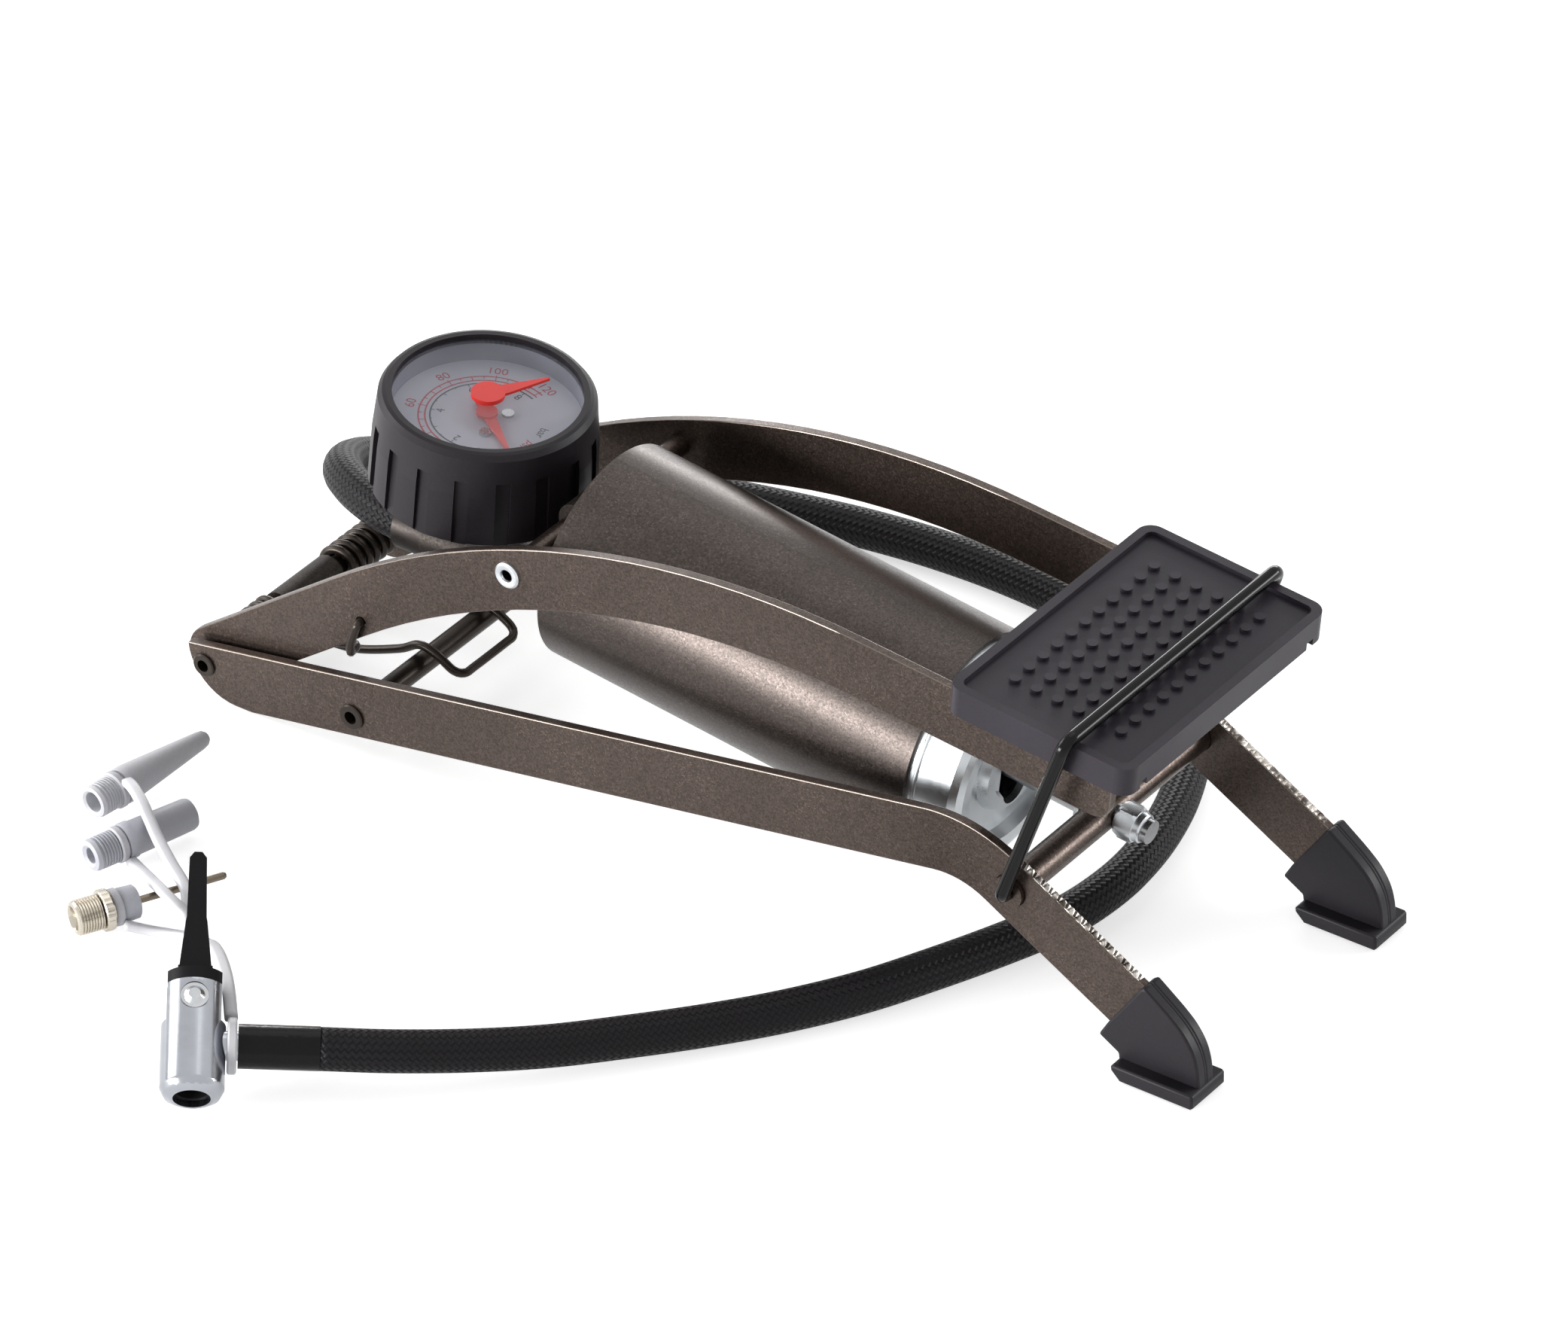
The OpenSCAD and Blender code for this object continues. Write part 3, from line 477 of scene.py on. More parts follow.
HOSE_R = 5.1
HOSE_Z = HOSE_R + 0.1
LOOP = [  # from the ferrule down to the floor
    (41.5, 0, 40.7), (32, 0, 40.7), (24, 1.2, 40.6), (14, 5.2, 39.8), (5, 11.5, 37.8), (-1.8, 20, 33.8),
    (-6, 29.6, 28.8), (-7.2, 40, 23.2), (-6, 50, 17.6), (-1.5, 60, 12.8), (6, 69, 9.2), (16, 77.2, 6.8),
    (28, 84, 5.4), (36, 87.4, HOSE_Z), (44, 90.4, HOSE_Z),
]
RUN = [  # along the floor, around the pedal end and up to the chuck
    (52, 93.4, HOSE_Z), (62, 96, HOSE_Z), (76, 99.4, HOSE_Z), (95, 103.4, HOSE_Z), (115, 105.8, HOSE_Z),
    (136, 106.2, HOSE_Z), (158, 104, HOSE_Z), (179, 98, HOSE_Z), (197, 87.5, HOSE_Z), (211, 73, HOSE_Z),
    (221, 55, HOSE_Z), (227, 37, HOSE_Z), (229.8, 20, HOSE_Z), (229.5, 5, HOSE_Z), (227, -8, HOSE_Z),
    (222.3, -21, HOSE_Z), (215.4, -37, HOSE_Z), (206.6, -55, HOSE_Z), (196, -71.5, HOSE_Z), (184.3, -86.3, HOSE_Z),
    (172.4, -100.4, 5.6), (160.4, -114.4, 6.4), (147.7, -127.4, 7.7), (134.4, -139.7, 9.4), (121.4, -149.7, 10.7),
]
BEND_MID = 8
LOOP_END = len(LOOP) - 1
HOSE_STEP, HOSE_SIDES = 0.002, 20


def make_hose():
    line, marks = curve_through([mm(*p) for p in LOOP + RUN], HOSE_STEP)
    section = ring_section(HOSE_R / 1000, HOSE_SIDES)
    cuts = [0, marks[BEND_MID], marks[LOOP_END], len(line) - 1]
    around = 2 * math.pi * HOSE_R / 1000
    parts = [
        tube(n, line, section, "braid", (0, 0, 1), (cuts[i], cuts[i + 1]), around)
        for i, n in enumerate(("hose_top", "hose_bend", "hose_floor"))
    ]
    spans = [line[cuts[i] : cuts[i + 1] + 1] for i in range(3)]
    top, bend, floor = parts
    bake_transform(top)
    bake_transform(bend)
    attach(floor, "base")
    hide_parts("hose_loop")
    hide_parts("hose_loop")
    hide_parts("hose_run")
    length_of(spans[0])
    length_of(spans[1])
    length_of(spans[2])


make_hose()


# ---- adaptors and their straps

CONE = lying((11.1, -96.6), 5.4, 82)
PLUG = lying((24.3, -114.1), 5.3, 72.5)
BALL = lying((37.2, -136.1), 5.3, 61.8)


def thread(r, z0, z1, pitch, depth):
    """Ridge and root points of a thread, drawn as close rings."""
    out = []
    for i in range(round((z1 - z0) / pitch)):
        z = z0 + i * pitch
        out += [(r - depth, z), (r - depth, z + 0.25 * pitch), (r, z + 0.45 * pitch), (r, z + 0.8 * pitch)]
    return out + [(r - depth, z1)]


# profiles, (radius, along) in millimetres from the threaded end
CONE_TURNED = (
    [(0.01, 9), (2.5, 9), (2.6, 0.5), (3.2, 0), (3.9, 0.3), (4.2, 1.2)]
    + thread(4.2, 1.8, 6.4, 0.8, 0.3)
    + [(3.7, 6.7), (3.7, 8.9), (4.5, 9.1), (4.6, 9.6), (4.6, 11.6)]
    + [(3.4, 24), (2.3, 35.2), (2, 36.6), (1.4, 37.4), (0.01, 37.6)]
)
PLUG_TURNED = (
    [(0.01, 8), (1.9, 8), (2, 0.6), (2.8, 0), (3.8, 0.4), (4.1, 1.4)]
    + thread(4.1, 2, 6.8, 0.8, 0.34)
    + [(3.5, 7), (3.5, 9.1), (4.4, 9.3), (4.6, 9.8), (4.6, 11.8)]
    + [(4.3, 12.4), (4, 28), (3.7, 28.9), (3, 29.3), (0.01, 29.4)]
)
BALL_THREAD = (
    [(0.01, 6), (2.6, 6), (2.8, 0.6), (3.2, 0), (4, 0.3), (4.3, 0.8)]
    + thread(4.35, 1, 6.6, 0.7, 0.36)
    + [(3.4, 6.8), (3.4, 8)]
)
BALL_FLANGE = [(3.4, 6.8), (4.8, 6.9), (5.1, 7.2), (5.1, 9), (4.8, 9.4), (3.4, 9.5)]
BALL_COLLAR = [
    (2, 9.4), (3.6, 9.5), (3.5, 11.6), (4.1, 11.8), (4.3, 12.2), (4.1, 15.8), (3.6, 16.2), (0.9, 16.3),
]
BALL_PIN = [(0.01, 14), (0.9, 14), (0.9, 38.4), (0.6, 39), (0.01, 39)]
KNURL = 0.035


def knurled(j, i):
    """Every second column of the flange's rim lies a little deeper."""
    return -KNURL if i % 2 and 0 < j < 5 else 0.0


def make_adaptors():
    cone = revolved("cone_adaptor", CONE_TURNED, CONE, "grey", 48)
    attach(cone, "base")
    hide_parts("cone_nozzle")
    plug = revolved("plug_adaptor", PLUG_TURNED, PLUG, "grey_dark", 48)
    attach(plug, "base")
    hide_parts("plug_nozzle")
    body = revolved("ball_thread", BALL_THREAD, BALL, "brass", 48)
    flange = revolved("ball_flange", BALL_FLANGE, BALL, "brass", 56, knurled)
    collar = revolved("ball_collar", BALL_COLLAR, BALL, "grey_dark", 40)
    pin = revolved("ball_pin", BALL_PIN, BALL, "pin_steel", 20)
    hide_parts("ball_needle")
    for o, s in ((body, "brass"), (flange, "brass"), (collar, "grey_plastic"), (pin, "brass")):
        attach(o, "base")
    return cone, plug, [body, flange, collar, pin]


STEM = [
    (101.4, -156.9, 15.6), (95.2, -149.8, 15.2), (88.3, -142.4, 13.6), (80.5, -135.0, 11.2), (74.2, -129.6, 8.4),
    (69.6, -126.6, 5.8), (63.6, -124.4, 3.6), (57, -124.2, 2), (51.4, -125.8, 1.8), (46.5, -128.6, 3),
]
TO_PLUG = [
    (66.2, -125.3, 4.8), (62.8, -124.2, 6.2), (59.7, -121.8, 7.5), (56.9, -121.4, 8.6), (52.7, -120.0, 8.9),
    (48.4, -117.7, 8.2), (43.1, -114.3, 6.4), (36.4, -110.0, 4.0), (30.6, -106.2, 2.0),
]
TO_CONE = [
    (61.5, -123.2, 6.1), (58, -119, 7.2), (53.5, -114.2, 8.2), (45.5, -109.3, 8.9), (37.7, -104.2, 9.6),
    (32.4, -100.6, 10.8), (28, -97.6, 11.8), (23, -94, 11.6), (19.4, -91.5, 10.8), (16.6, -89.6, 9.6),
]
STRAP_THICK, STRAP_STEP = 0.0022, 0.0012
# the strap's rings around the adaptors: place, start along it, inner radius
STRAP_EYES = {
    "strap_eye_cone": (CONE, 6.5, 3.8),
    "strap_eye_plug": (PLUG, 7, 3.6),
    "strap_eye_ball": (BALL, 9.7, 3.7),
}
CHUCK_RING = [(3.5, 7.8), (6.2, 7.8), (6.6, 8.2), (6.6, 9.6), (6.2, 10), (3.5, 10), (3.5, 7.8)]
CHUCK_MOUTH = (105.5, -177.4)
CHUCK_R, CHUCK_BARB, CHUCK_TIP, CHUCK_ROLL, CHUCK_TURN = 7.5, 13.8, 27, 5, 125.4
FLOOR_GAP = 0.02


def chuck_place(s):
    """Place on the chuck's own axis, s millimetres from its mouth."""
    turn = (
        Matrix.Rotation(math.radians(CHUCK_TURN), 4, "Z")
        @ Matrix.Rotation(math.radians(-CHUCK_TIP), 4, "Y")
        @ Matrix.Rotation(math.radians(CHUCK_ROLL), 4, "X")
    )
    turn.translation = mm(*CHUCK_MOUTH, CHUCK_R * math.cos(math.radians(CHUCK_TIP)) + FLOOR_GAP)
    return turn @ Matrix.Translation((s / 1000, 0, 0))


def make_straps():
    cone, plug, ball = make_adaptors()
    for name, route, fitting, wide in (
        ("strap_stem", STEM, ball, 0.0032),
        ("strap_plug", TO_PLUG, [plug], 0.0027),
        ("strap_cone", TO_CONE, [cone], 0.0029),
    ):
        line, _ = curve_through([mm(*p) for p in route], STRAP_STEP)
        o = tube(name, line, flat_section(wide, STRAP_THICK), "strap", (0, 0, 1))
        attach(o, "base")
        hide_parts("strap")
        length_of(line)
    for name, (place, z, r) in STRAP_EYES.items():
        profile = [(r, z), (r + 0.6, z), (r + 0.9, z + 0.4), (r + 0.9, z + 1.6), (r + 0.6, z + 2), (r, z + 2), (r, z)]
        o = revolved(name, profile, place, "grey", 40)
        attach(o, "base")
    side = chuck_place(CHUCK_BARB) @ Matrix.Rotation(math.radians(90), 4, "X")
    o = revolved("strap_ring", CHUCK_RING, side, "strap", 48)
    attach(o, "base")


make_straps()


# ---- return spring: coils on the axle, a bow under the lower tube, a leg hooked to each upper rail

AXLE = (0, 8.7)
COIL_R, COIL_OUT, COIL_IN = 4.3, 31.0, 12.0
COIL_A0, COIL_A1, COIL_TURNS, COIL_STEPS = 108, 278, 6, 180
WIRE_R, WIRE_GAP, WIRE_SIDES, WIRE_STEP = 1.1, 0.4, 10, 0.0012
UPPER_OUT, UPPER_IN = 35.0, 32.6  # faces of the upper rails
BOW = [
    (14, -11.5, 6), (25, -11.5, 7.4), (38, -11.5, 12.4), (44.2, -11.5, 15.9), (49.2, -11.5, 15.2),
    (54.4, -11.5, 12.4), (56.4, -9.6, 11.3), (56.6, -6, 11.2),
]


def make_spring():
    hook_y, tail_y = UPPER_OUT + WIRE_R + WIRE_GAP, UPPER_IN - WIRE_R - WIRE_GAP
    sweep = COIL_A1 - COIL_A0 + 360 * COIL_TURNS
    coil = []
    for i in range(COIL_STEPS + 1):
        t = i / COIL_STEPS
        a = math.radians(COIL_A0 + t * sweep)
        y = -COIL_OUT + t * (COIL_OUT - COIL_IN)
        coil.append((AXLE[0] + COIL_R * math.cos(a), y, AXLE[1] + COIL_R * math.sin(a)))
    half = coil + BOW
    whole = half + [(x, -y, z) for x, y, z in reversed(half)]
    line, _ = curve_through([mm(*p) for p in whole], WIRE_STEP)
    wire = ring_section(WIRE_R / 1000, WIRE_SIDES)
    o = tube("spring_coils", line, wire, "black_steel", (1, 0, 0))
    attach(o, "base")
    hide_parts("return_spring")
    tail = [
        (45.7, -UPPER_IN - 0.2, 36.1), (45.7, -hook_y + 0.6, 36.1), (45.4, -hook_y, 35.2), (43.6, -hook_y, 30.2),
        (43.4, -hook_y, 27.8), (42.4, -hook_y + 1.6, 26.3), (40.6, -tail_y, 25.5), (34.4, -tail_y, 23.8), coil[2],
    ]
    for m, name in ((1, "spring_leg_near"), (-1, "spring_leg_far")):
        line, _ = curve_through([mm(x, m * y, z) for x, y, z in tail], WIRE_STEP)
        o = tube(name, line, wire, "black_steel", (1, 0.3, 0.2))
        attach(o, "pedal_frame")


make_spring()


# ---- gauge dial

GAUGE_FOOT, GAUGE_LEAN, DIAL_UP, PRINT_LIFT = (56.8, 0, 61.9), 5.8, 18.4, 0.04
ZERO_DEG, PSI_DEG, BAR_PSI = -31.0, -2.1, 14.5  # angle of zero, degrees per psi, psi per bar
PSI_END, PSI_RINGS, BAR_RING = 122, ((16.1, 16.5), (14.5, 14.9)), (13.3, 13.7)
PSI_TICK, BAR_TICK = 0.45, 0.5  # half widths in degrees
PSI_TEXT_R, BAR_TEXT_R, UNIT_R = 18.6, 11.1, 14.2
PSI_TEXT, SMALL_TEXT = 3.5, 3.0
BAR_UNIT_DEG, PSI_UNIT_DEG = 14, -11
GAUGE = Matrix.Translation(mm(*GAUGE_FOOT)) @ Matrix.Rotation(math.radians(GAUGE_LEAN), 4, "Y")


def dial_point(r, deg):
    a = math.radians(deg)
    return GAUGE @ Vector((r * math.cos(a) / 1000, r * math.sin(a) / 1000, (DIAL_UP + PRINT_LIFT) / 1000))


def arc_strip(verts, faces, r0, r1, a0, a1, n=72):
    base = len(verts)
    for i in range(n + 1):
        a = a0 + (a1 - a0) * i / n
        verts += [dial_point(r0, a), dial_point(r1, a)]
    for i in range(n):
        q = base + 2 * i
        faces.append((q, q + 1, q + 3, q + 2))


def write(verts, faces, text, r, deg, size):
    """Text that reads outward from the centre of the dial."""
    curve = bpy.data.curves.new("number", "FONT")
    curve.body = text
    curve.size = size / 1000
    curve.align_x = curve.align_y = "CENTER"
    obj = link(bpy.data.objects.new("number", curve))
    bpy.context.view_layer.update()
    me = bpy.data.meshes.new_from_object(obj.evaluated_get(bpy.context.evaluated_depsgraph_get()))
    turn = GAUGE.to_3x3().to_4x4() @ Matrix.Rotation(math.radians(deg - 90), 4, "Z")
    place = Matrix.Translation(dial_point(r, deg)) @ turn
    base = len(verts)
    verts += [place @ v.co for v in me.vertices]
    faces += [tuple(base + i for i in p.vertices) for p in me.polygons]
    bpy.data.objects.remove(obj)
    bpy.data.curves.remove(curve)
    bpy.data.meshes.remove(me)


def make_dial():
    at = lambda psi: ZERO_DEG + PSI_DEG * psi
    red, black = ([], []), ([], [])  # points and faces of each ink
    for r0, r1 in PSI_RINGS:
        arc_strip(*red, r0, r1, at(0), at(PSI_END))
    arc_strip(*black, *BAR_RING, at(0), at(PSI_END))
    for psi in range(0, 125, 5):
        outer = 16.4 if psi % 20 else 16.9
        inner = 15.4 if psi % 10 else 14.7
        arc_strip(*red, inner, outer, at(psi) - PSI_TICK, at(psi) + PSI_TICK, n=1)
    for psi in range(20, 121, 20):
        write(*red, str(psi), PSI_TEXT_R, at(psi), PSI_TEXT)
    for half in range(17):
        inner = 13.0 if half % 2 else 12.5
        a = at(half * BAR_PSI / 2)
        arc_strip(*black, inner, 13.5, a - BAR_TICK, a + BAR_TICK, n=1)
    for bar in (2, 4, 6, 8):
        write(*black, str(bar), BAR_TEXT_R, at(bar * BAR_PSI), SMALL_TEXT)
    write(*black, "bar", UNIT_R, BAR_UNIT_DEG, SMALL_TEXT)
    write(*red, "psi", UNIT_R, PSI_UNIT_DEG, SMALL_TEXT)
    for name, ink, look in (("dial_red", red, "print_red"), ("dial_black", black, "print_black")):
        o = mesh_object(name, *ink, look, False)
        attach(o, "barrel")


make_dial()


# ---- CAD nodes: materials and softened edges

RAILS = ["lower_rail_left", "lower_rail_right", "upper_rail_left", "upper_rail_right"]
LOOKS = {
    "bronze": RAILS + ["crossbar", "pedal_cross_tube", "head_pin"],
    # the barrel tube takes the darker copy of the bronze paint: painted shade
    "barrel": ["barrel_tube"],
    # head and rear bush take the darkest copy of the bronze paint: painted shade
    "cast": ["barrel_head", "rear_bush"],
    "black_steel": ["rear_axle", "lower_cross_tube"],
    "black_gloss": ["lock_bail"],
    "plated": ["chuck_body"],
    "zinc": ["front_cap"],
    "plated_dull": ["rod_washer", "dial_screws", "chuck_pin"],
    "steel": ["piston_rod", "check_valve"],
    "case": ["gauge_case"],
    "pedal": ["pedal_pad"],
    "lever": ["chuck_lever", "chuck_core"],
    "boot": ["gauge_boot"],
    "dial": ["gauge_dial"],
    "lens": ["gauge_lens"],
    "needle": ["gauge_needle"],
    "marker": ["marker_pointer"],
    "brass": ["gauge_stem", "bourdon_tube"],
    "sleeve": ["hose_sleeve"],
    "ferrule": ["hose_ferrule"],
    "grey": ["piston"],
    "seal": ["piston_cup", "chuck_gasket"],
}
ROUND_MM = {**dict.fromkeys(RAILS, 0.26), "chuck_body": 0.9}
WELD_M, FLAT_DEG, EDGE_DEG = 2e-6, 0.4, 40


def soften(node, width, is_rail):
    """Rounds a CAD node's edges. Its points are split at every edge, so they are welded first, and flat
    faces are joined, so that the bevel leaves no cracks."""
    weld = node.modifiers.new("weld", "WELD")
    weld.merge_threshold = WELD_M
    flat = node.modifiers.new("flat", "DECIMATE")
    flat.decimate_type = "DISSOLVE"
    flat.angle_limit = math.radians(FLAT_DEG)
    edges = node.modifiers.new("edges", "BEVEL")
    edges.width = width / 1000
    edges.segments = 2
    edges.limit_method = "ANGLE"
    edges.angle_limit = math.radians(EDGE_DEG)
    edges.use_clamp_overlap = not is_rail
    # The rails' rounded edges take the lighter edge colour, a painted highlight along them.
    if is_rail:
        node.data.materials.append(MATS["edge"])
        edges.material = 1
    even = node.modifiers.new("even", "WEIGHTED_NORMAL")
    even.keep_sharp = True


def finish_nodes():
    for look, names in LOOKS.items():
        for n in names:
            dress(NODES[n], look)
    for n, width in ROUND_MM.items():
        soften(NODES[n], width, n in RAILS)


finish_nodes()


# ---- torn top edge of the legs

RAIL_RISE, LEG_FALL, LEG_H, LOW_Z0, APEX_X = 9.65, 30.15, 16.5, 6.0, 224.8
LEG_FROM, LEG_TO, LEG_TEETH = 13.5, 51.0, 29
TOOTH, NOTCH, SUNK = 0.3, 0.06, 0.1  # heights over the leg's edge, and how far the strip goes into it
LOWER_IN, LOWER_OUT = 36.8, 39.2  # faces of the lower rails


def leg_strip():
    """Points of one strip, (X, Y, Z) with Y outward, four to a row, and its faces."""
    a = math.radians(LEG_FALL)
    along, up = (math.cos(a), -math.sin(a)), (math.sin(a), math.cos(a))
    apex = (APEX_X, LOW_Z0 + APEX_X * math.tan(math.radians(RAIL_RISE)))
    steps = 2 * LEG_TEETH
    points = []
    for i in range(steps + 1):
        t = LEG_FROM + (LEG_TO - LEG_FROM) * i / steps
        top = LEG_H / 2 + (TOOTH if i % 2 else NOTCH)
        foot = LEG_H / 2 - SUNK
        slant = 0.5 if i % 4 < 2 else -0.3
        for y, shift, h in (
            (LOWER_IN + 0.1, 0, foot),
            (LOWER_IN + 0.3, 0, top),
            (LOWER_OUT - 0.3, slant, top),
            (LOWER_OUT - 0.1, slant, foot),
        ):
            x = apex[0] + (t + shift) * along[0] + h * up[0]
            z = apex[1] + (t + shift) * along[1] + h * up[1]
            points.append((x, y, z))
    faces = [(q, q + 1, q + 5, q + 4) for i in range(steps) for q in range(4 * i, 4 * i + 3)]
    last = 4 * steps
    faces += [(0, 1, 2, 3), (last + 3, last + 2, last + 1, last)]
    faces += [(4 * i + 3, 4 * i, 4 * i + 4, 4 * i + 7) for i in range(steps)]
    return points, faces


def make_leg_edges():
    """Low jagged strip on top of each leg, where the sheet was sheared."""
    points, faces = leg_strip()
    for m, name in ((-1, "leg_edge_near"), (1, "leg_edge_far")):
        o = mesh_object(name, [mm(x, m * y, z) for x, y, z in points], faces, "sheared", False)
        face_outward(o)
        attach(o, "base")


make_leg_edges()


# ---- rubber feet: two halves with a seam on a base plate, outlines as (X, Z) from the front end

FOOT_X, FOOT_Y = 291.5, 38.0
FOOT_BACK = [(-22.6, 1.0), (-23.0, 4.9), (-28.4, 8.2), (-26.0, 12.2), (-18.7, 22.5), (-16.9, 25.2)]
FOOT_FRONT = [
    (-15.7, 26.1), (-10.8, 22.4), (-7.8, 20.0), (-4.9, 17.2), (-2.4, 13.4), (-1.1, 9.4), (-0.6, 5.0), (-0.4, 1.0),
]
FOOT_BASE = [
    (-22.7, 3.4), (-22.2, 4.0), (-0.6, 4.0), (0, 3.4), (0, 0.6), (-0.6, 0), (-20.2, 0), (-22.6, 2.4),
]
FOOT_HALF, FOOT_SEAM, FOOT_SIDE = 3.15, 0.16, 6.8
SEAM_LAP, SEAM_INSET = 0.5, 0.006
FOOT_STEP, FOOT_CREASE, FOOT_ROUND = 1.2, 50, 0.0006


def prism(verts, faces, outline, y0, y1, inset=0.0):
    """Adds a plate with the outline, (X, Z) points, between two Y planes."""
    cx = sum(p[0] for p in outline) / len(outline)
    cz = sum(p[1] for p in outline) / len(outline)
    at, k = len(verts), len(outline)
    for y in (y0, y1):
        for x, z in outline:
            verts.append(mm(FOOT_X + x + (cx - x) * inset, y, z + (cz - z) * inset))
    faces += [tuple(range(at, at + k)), tuple(range(at + 2 * k - 1, at + k - 1, -1))]
    faces += [(at + (j + 1) % k, at + j, at + k + j, at + k + (j + 1) % k) for j in range(k)]


def make_feet():
    curve, _ = curve_through([(x, 0, z) for x, z in FOOT_FRONT], FOOT_STEP)
    web = FOOT_BACK + [(p[0], p[2]) for p in curve]
    for m, name, node in ((-1, "foot_near", "front_foot_right"), (1, "foot_far", "front_foot_left")):
        verts, faces = [], []
        y = m * FOOT_Y
        prism(verts, faces, web, y - FOOT_HALF, y - FOOT_SEAM)
        prism(verts, faces, web, y + FOOT_SEAM, y + FOOT_HALF)
        prism(verts, faces, web, y - FOOT_SEAM - SEAM_LAP, y + FOOT_SEAM + SEAM_LAP, SEAM_INSET)
        prism(verts, faces, FOOT_BASE, y - FOOT_SIDE, y + FOOT_SIDE)
        o = mesh_object(name, verts, faces, "foot")
        face_outward(o)
        crease(o, FOOT_CREASE)
        edges = o.modifiers.new("edges", "BEVEL")
        edges.width, edges.segments = FOOT_ROUND, 3
        edges.limit_method, edges.angle_limit = "ANGLE", math.radians(FOOT_CREASE)
        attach(o, "base")
        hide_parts(node)


make_feet()


# ---- lock nut, cap bead and pin ends

BAR, ROD_TILT, BAR_R = (237.3, 37.1), 7.3225, 4.0  # crossbar, where the rod's axis meets it
NUT_R, NUT_COLLAR, THREAD_R = 4.75, 3.75, 3.02
NUT_FLAT = NUT_R * math.cos(math.pi / 6)
NUT_STEPS, NUT_CREASE = 72, 28
NUT_LEVELS = [  # radius, height from the crossbar, whether it is six-sided
    (THREAD_R, -0.1, False),
    (NUT_FLAT - 0.1, -0.1, False),
    (NUT_R, -0.9, True),
    (NUT_R, -4.4, True),
    (NUT_FLAT, -5.1, False),
    (NUT_COLLAR + 0.1, -5.2, False),
    (NUT_COLLAR, -5.5, False),
    (NUT_COLLAR - 0.1, -6.6, False),
    (THREAD_R + 0.3, -7.0, False),
    (THREAD_R, -6.8, False),
]
CAP_R, CAP_BEAD_AT = 26.3, -37.6
CAP_BEAD = [
    (CAP_R - 0.3, 0), (CAP_R + 0.12, 0.1), (CAP_R + 0.32, 0.45), (CAP_R + 0.32, 0.8), (CAP_R + 0.12, 1.15),
    (CAP_R - 0.3, 1.25),
]


def make_nut():
    """Lock nut: a hexagon with turned-off corners and a round collar over the plastic ring."""
    place = Matrix.Translation(mm(BAR[0], 0, BAR[1])) @ Matrix.Rotation(math.radians(ROD_TILT - 90), 4, "Y")
    n, k = NUT_STEPS, len(NUT_LEVELS)
    verts, faces = [], []
    for i in range(n):
        a = 2 * math.pi * i / n
        side = (a + math.pi / 6) % (math.pi / 3) - math.pi / 6
        for r, along, hexed in NUT_LEVELS:
            rr = min(r, NUT_FLAT / math.cos(side)) if hexed else r
            verts.append(place @ Vector((rr * math.cos(a) / 1000, rr * math.sin(a) / 1000, (along - BAR_R) / 1000)))
    for i in range(n):
        b = (i + 1) % n
        faces += [(i * k + j, b * k + j, b * k + (j + 1) % k, i * k + (j + 1) % k) for j in range(k)]
    o = mesh_object("lock_nut_hex", verts, faces, "zinc")
    face_outward(o)
    crease(o, NUT_CREASE)
    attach(o, "rod")
    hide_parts("lock_nut")


def make_cap_bead():
    """Rolled bead around the plated cap, next to the barrel's mouth."""
    a = math.radians(ROD_TILT)
    at = mm(BAR[0] + CAP_BEAD_AT * math.cos(a), 0, BAR[1] - CAP_BEAD_AT * math.sin(a))
    place = Matrix.Translation(at) @ Matrix.Rotation(math.radians(90) + a, 4, "Y")
    o = revolved("cap_bead", CAP_BEAD, place, "zinc", 96)
    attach(o, "barrel")


def tie_end(r):
    return [(r - 0.4, -0.2), (r - 0.4, 0.02), (r - 0.9, 0.1), (1.4, 0.04), (0.01, 0)]


def pin_eyelet(r):
    return [
        (r - 1.9, -0.6), (r - 1.7, -0.05), (r - 1.2, 0.15), (r - 0.4, 0.1), (r + 0.04, -0.3), (r + 0.04, -0.78),
    ]


def make_tie_ends():
    """Painted-over ends of the tube under the pedal, and the bright eyelets of the head pin."""
    for node, name, look, slot, shape in (
        ("pedal_cross_tube", "tie_end", "bronze", "bronze_paint", tie_end),
        ("head_pin", "pin_eyelet", "zinc", "plated", pin_eyelet),
    ):
        low, high = (Vector(c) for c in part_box(node))
        mid, r = (low + high) / 2, (high.z - low.z) / 2 * 1000
        for m, side, y in ((-1, "near", low.y), (1, "far", high.y)):
            place = Matrix.Translation((mid.x, y, mid.z)) @ Matrix.Rotation(math.radians(-90 * m), 4, "X")
            o = revolved(name + "_" + side, shape(r), place, look, 40)
            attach(o, "pedal_frame")


make_nut()
make_cap_bead()
make_tie_ends()


# ---- stage and light

FLOOR_HALF, FLOOR_Z = 6.0, -0.0004
FLOOR_GLOW, FLOOR_SHEEN, WORLD_LEVEL = 0.62, 0.45, 0.34
WHITE = (1, 1, 1, 1)


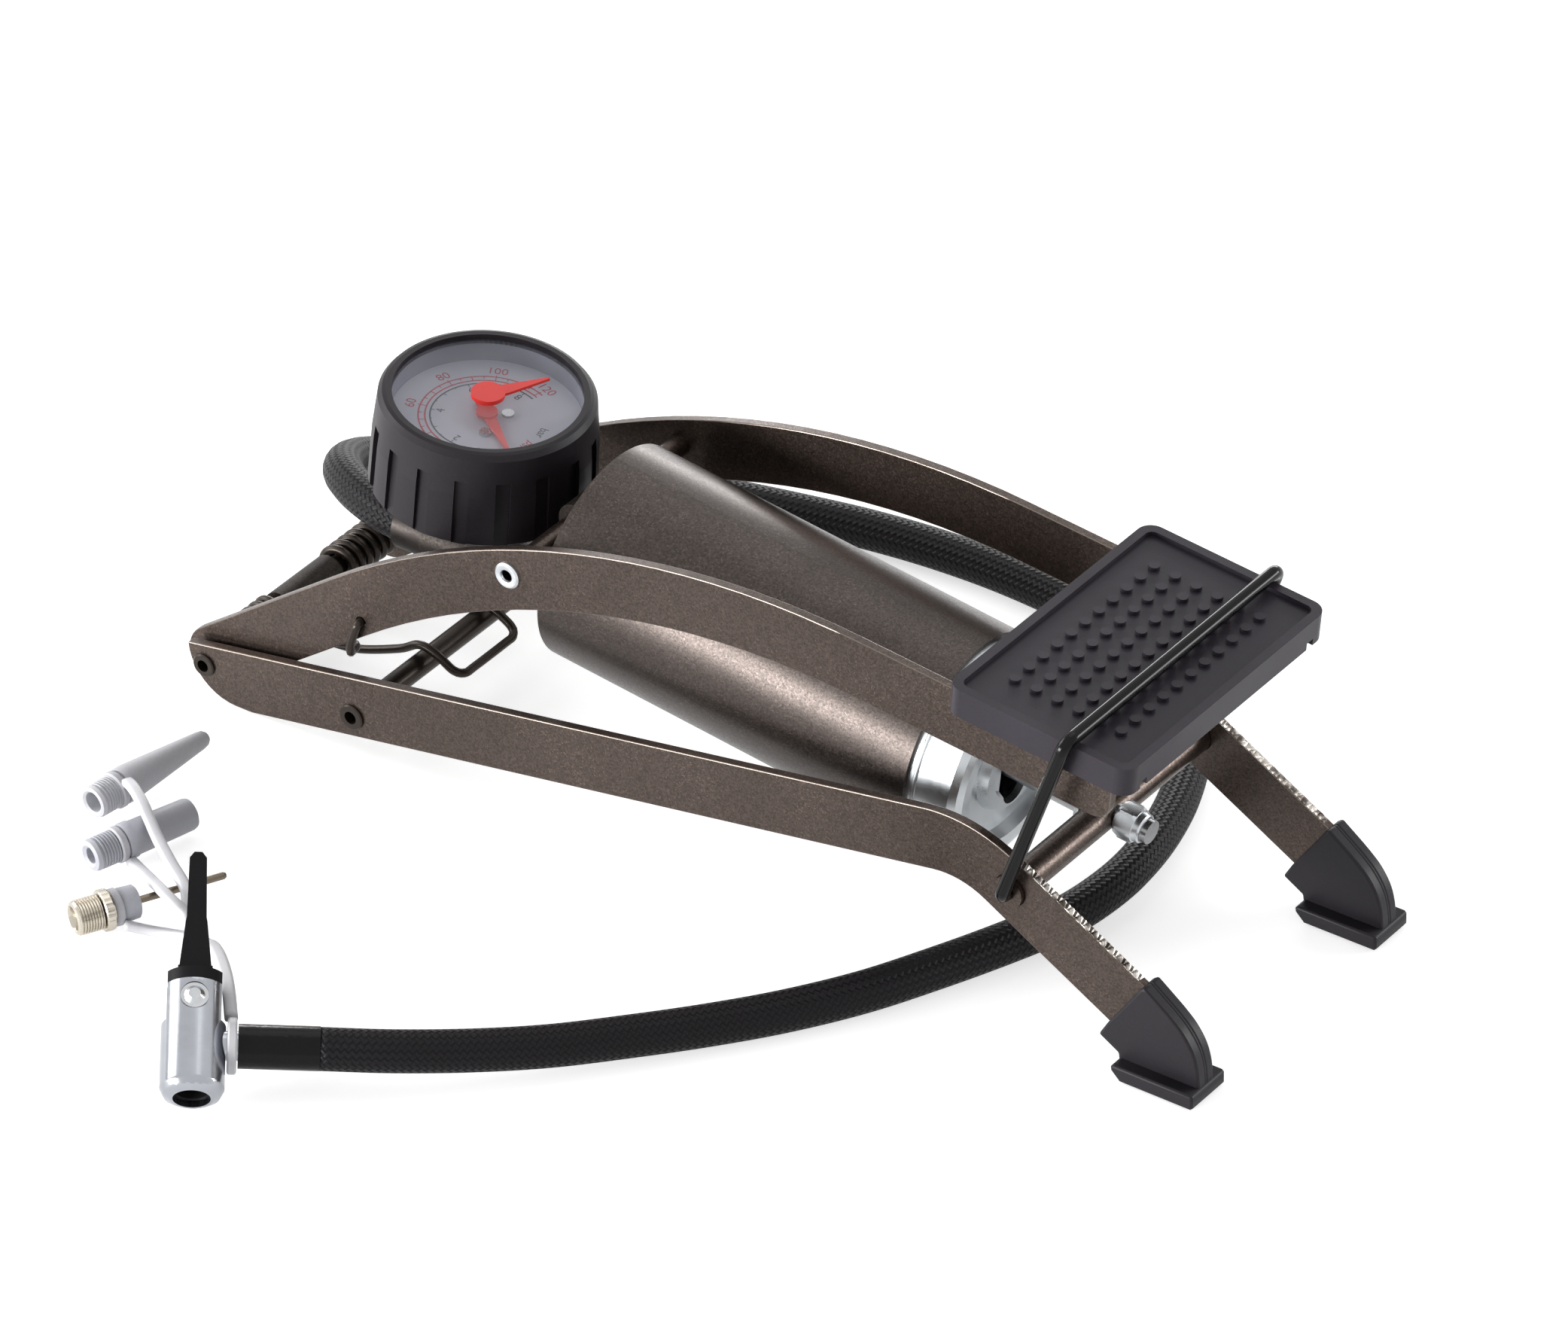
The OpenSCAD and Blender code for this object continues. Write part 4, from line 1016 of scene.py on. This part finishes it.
def make_floor():
    """White floor that the camera and reflections see as a bright background, with the object's shadow."""
    me = bpy.data.meshes.new("floor")
    s, z = FLOOR_HALF, FLOOR_Z
    me.from_pydata([(-s, -s, z), (s, -s, z), (s, s, z), (-s, s, z)], [], [(0, 1, 2, 3)])
    floor = link(bpy.data.objects.new("floor", me))
    m = Mat("floor_white", 0.8, 0.0, Specular_IOR_Level=0.2)
    m.color(m.ramp(m.noise(3, 2, 0.5), [(NOISE_LOW, (0.9, 0.9, 0.9, 1)), (NOISE_HIGH, (0.92, 0.92, 0.92, 1))]))
    path = m.n.new("ShaderNodeLightPath").outputs
    glow = m.math("MULTIPLY", m.math("MAXIMUM", path["Is Camera Ray"], path["Is Transmission Ray"]), FLOOR_GLOW)
    sheen = m.math("MULTIPLY", path["Is Glossy Ray"], FLOOR_SHEEN)
    m.b.inputs["Emission Color"].default_value = WHITE
    m.wire(m.math("MAXIMUM", glow, sheen), m.b.inputs["Emission Strength"])
    floor.data.materials.append(m.m)


def make_world():
    """White to the camera, glass and reflections, and a plain level of light on the object."""
    world = bpy.data.worlds.new("studio")
    bpy.context.scene.world = world
    world.use_nodes = True
    n, l = world.node_tree.nodes, world.node_tree.links
    path = n.new("ShaderNodeLightPath").outputs
    seen = path["Is Camera Ray"]
    for ray in ("Is Transmission Ray", "Is Glossy Ray"):
        either = n.new("ShaderNodeMath")
        either.operation = "MAXIMUM"
        l.new(seen, either.inputs[0])
        l.new(path[ray], either.inputs[1])
        seen = either.outputs["Value"]
    level = n.new("ShaderNodeMapRange")
    level.inputs["To Min"].default_value = WORLD_LEVEL
    level.inputs["To Max"].default_value = 1.0
    l.new(seen, level.inputs["Value"])
    background = n["Background"].inputs
    background["Color"].default_value = WHITE
    l.new(level.outputs["Result"], background["Strength"])


def area(name, at, aim, size, power):
    data = bpy.data.lights.new(name, "AREA")
    data.shape = "RECTANGLE"
    data.size, data.size_y = size
    data.energy = power
    o = link(bpy.data.objects.new(name, data))
    o.visible_camera = False
    o.location = at
    o.rotation_mode = "QUATERNION"
    o.rotation_quaternion = (Vector(aim) - Vector(at)).to_track_quat("-Z", "Y")


make_floor()
make_world()
bpy.context.scene.view_settings.view_transform = "Standard"
area("front", (-0.66, -1.15, 0.21), (0, 0, 0.06), (0.9, 0.3), 20)
area("key", (-1.25, -0.25, 0.65), (0, 0, 0.05), (0.8, 0.7), 8)
area("top", (0.0, 0.6, 1.6), (0, 0, 0.04), (1.3, 1.0), 3)
area("back", (-0.62, 1.2, 0.34), (0, 0, 0.05), (1.0, 0.3), 6)
area("right", (0.95, 0.9, 0.3), (0.08, 0, 0.04), (0.6, 0.35), 7)
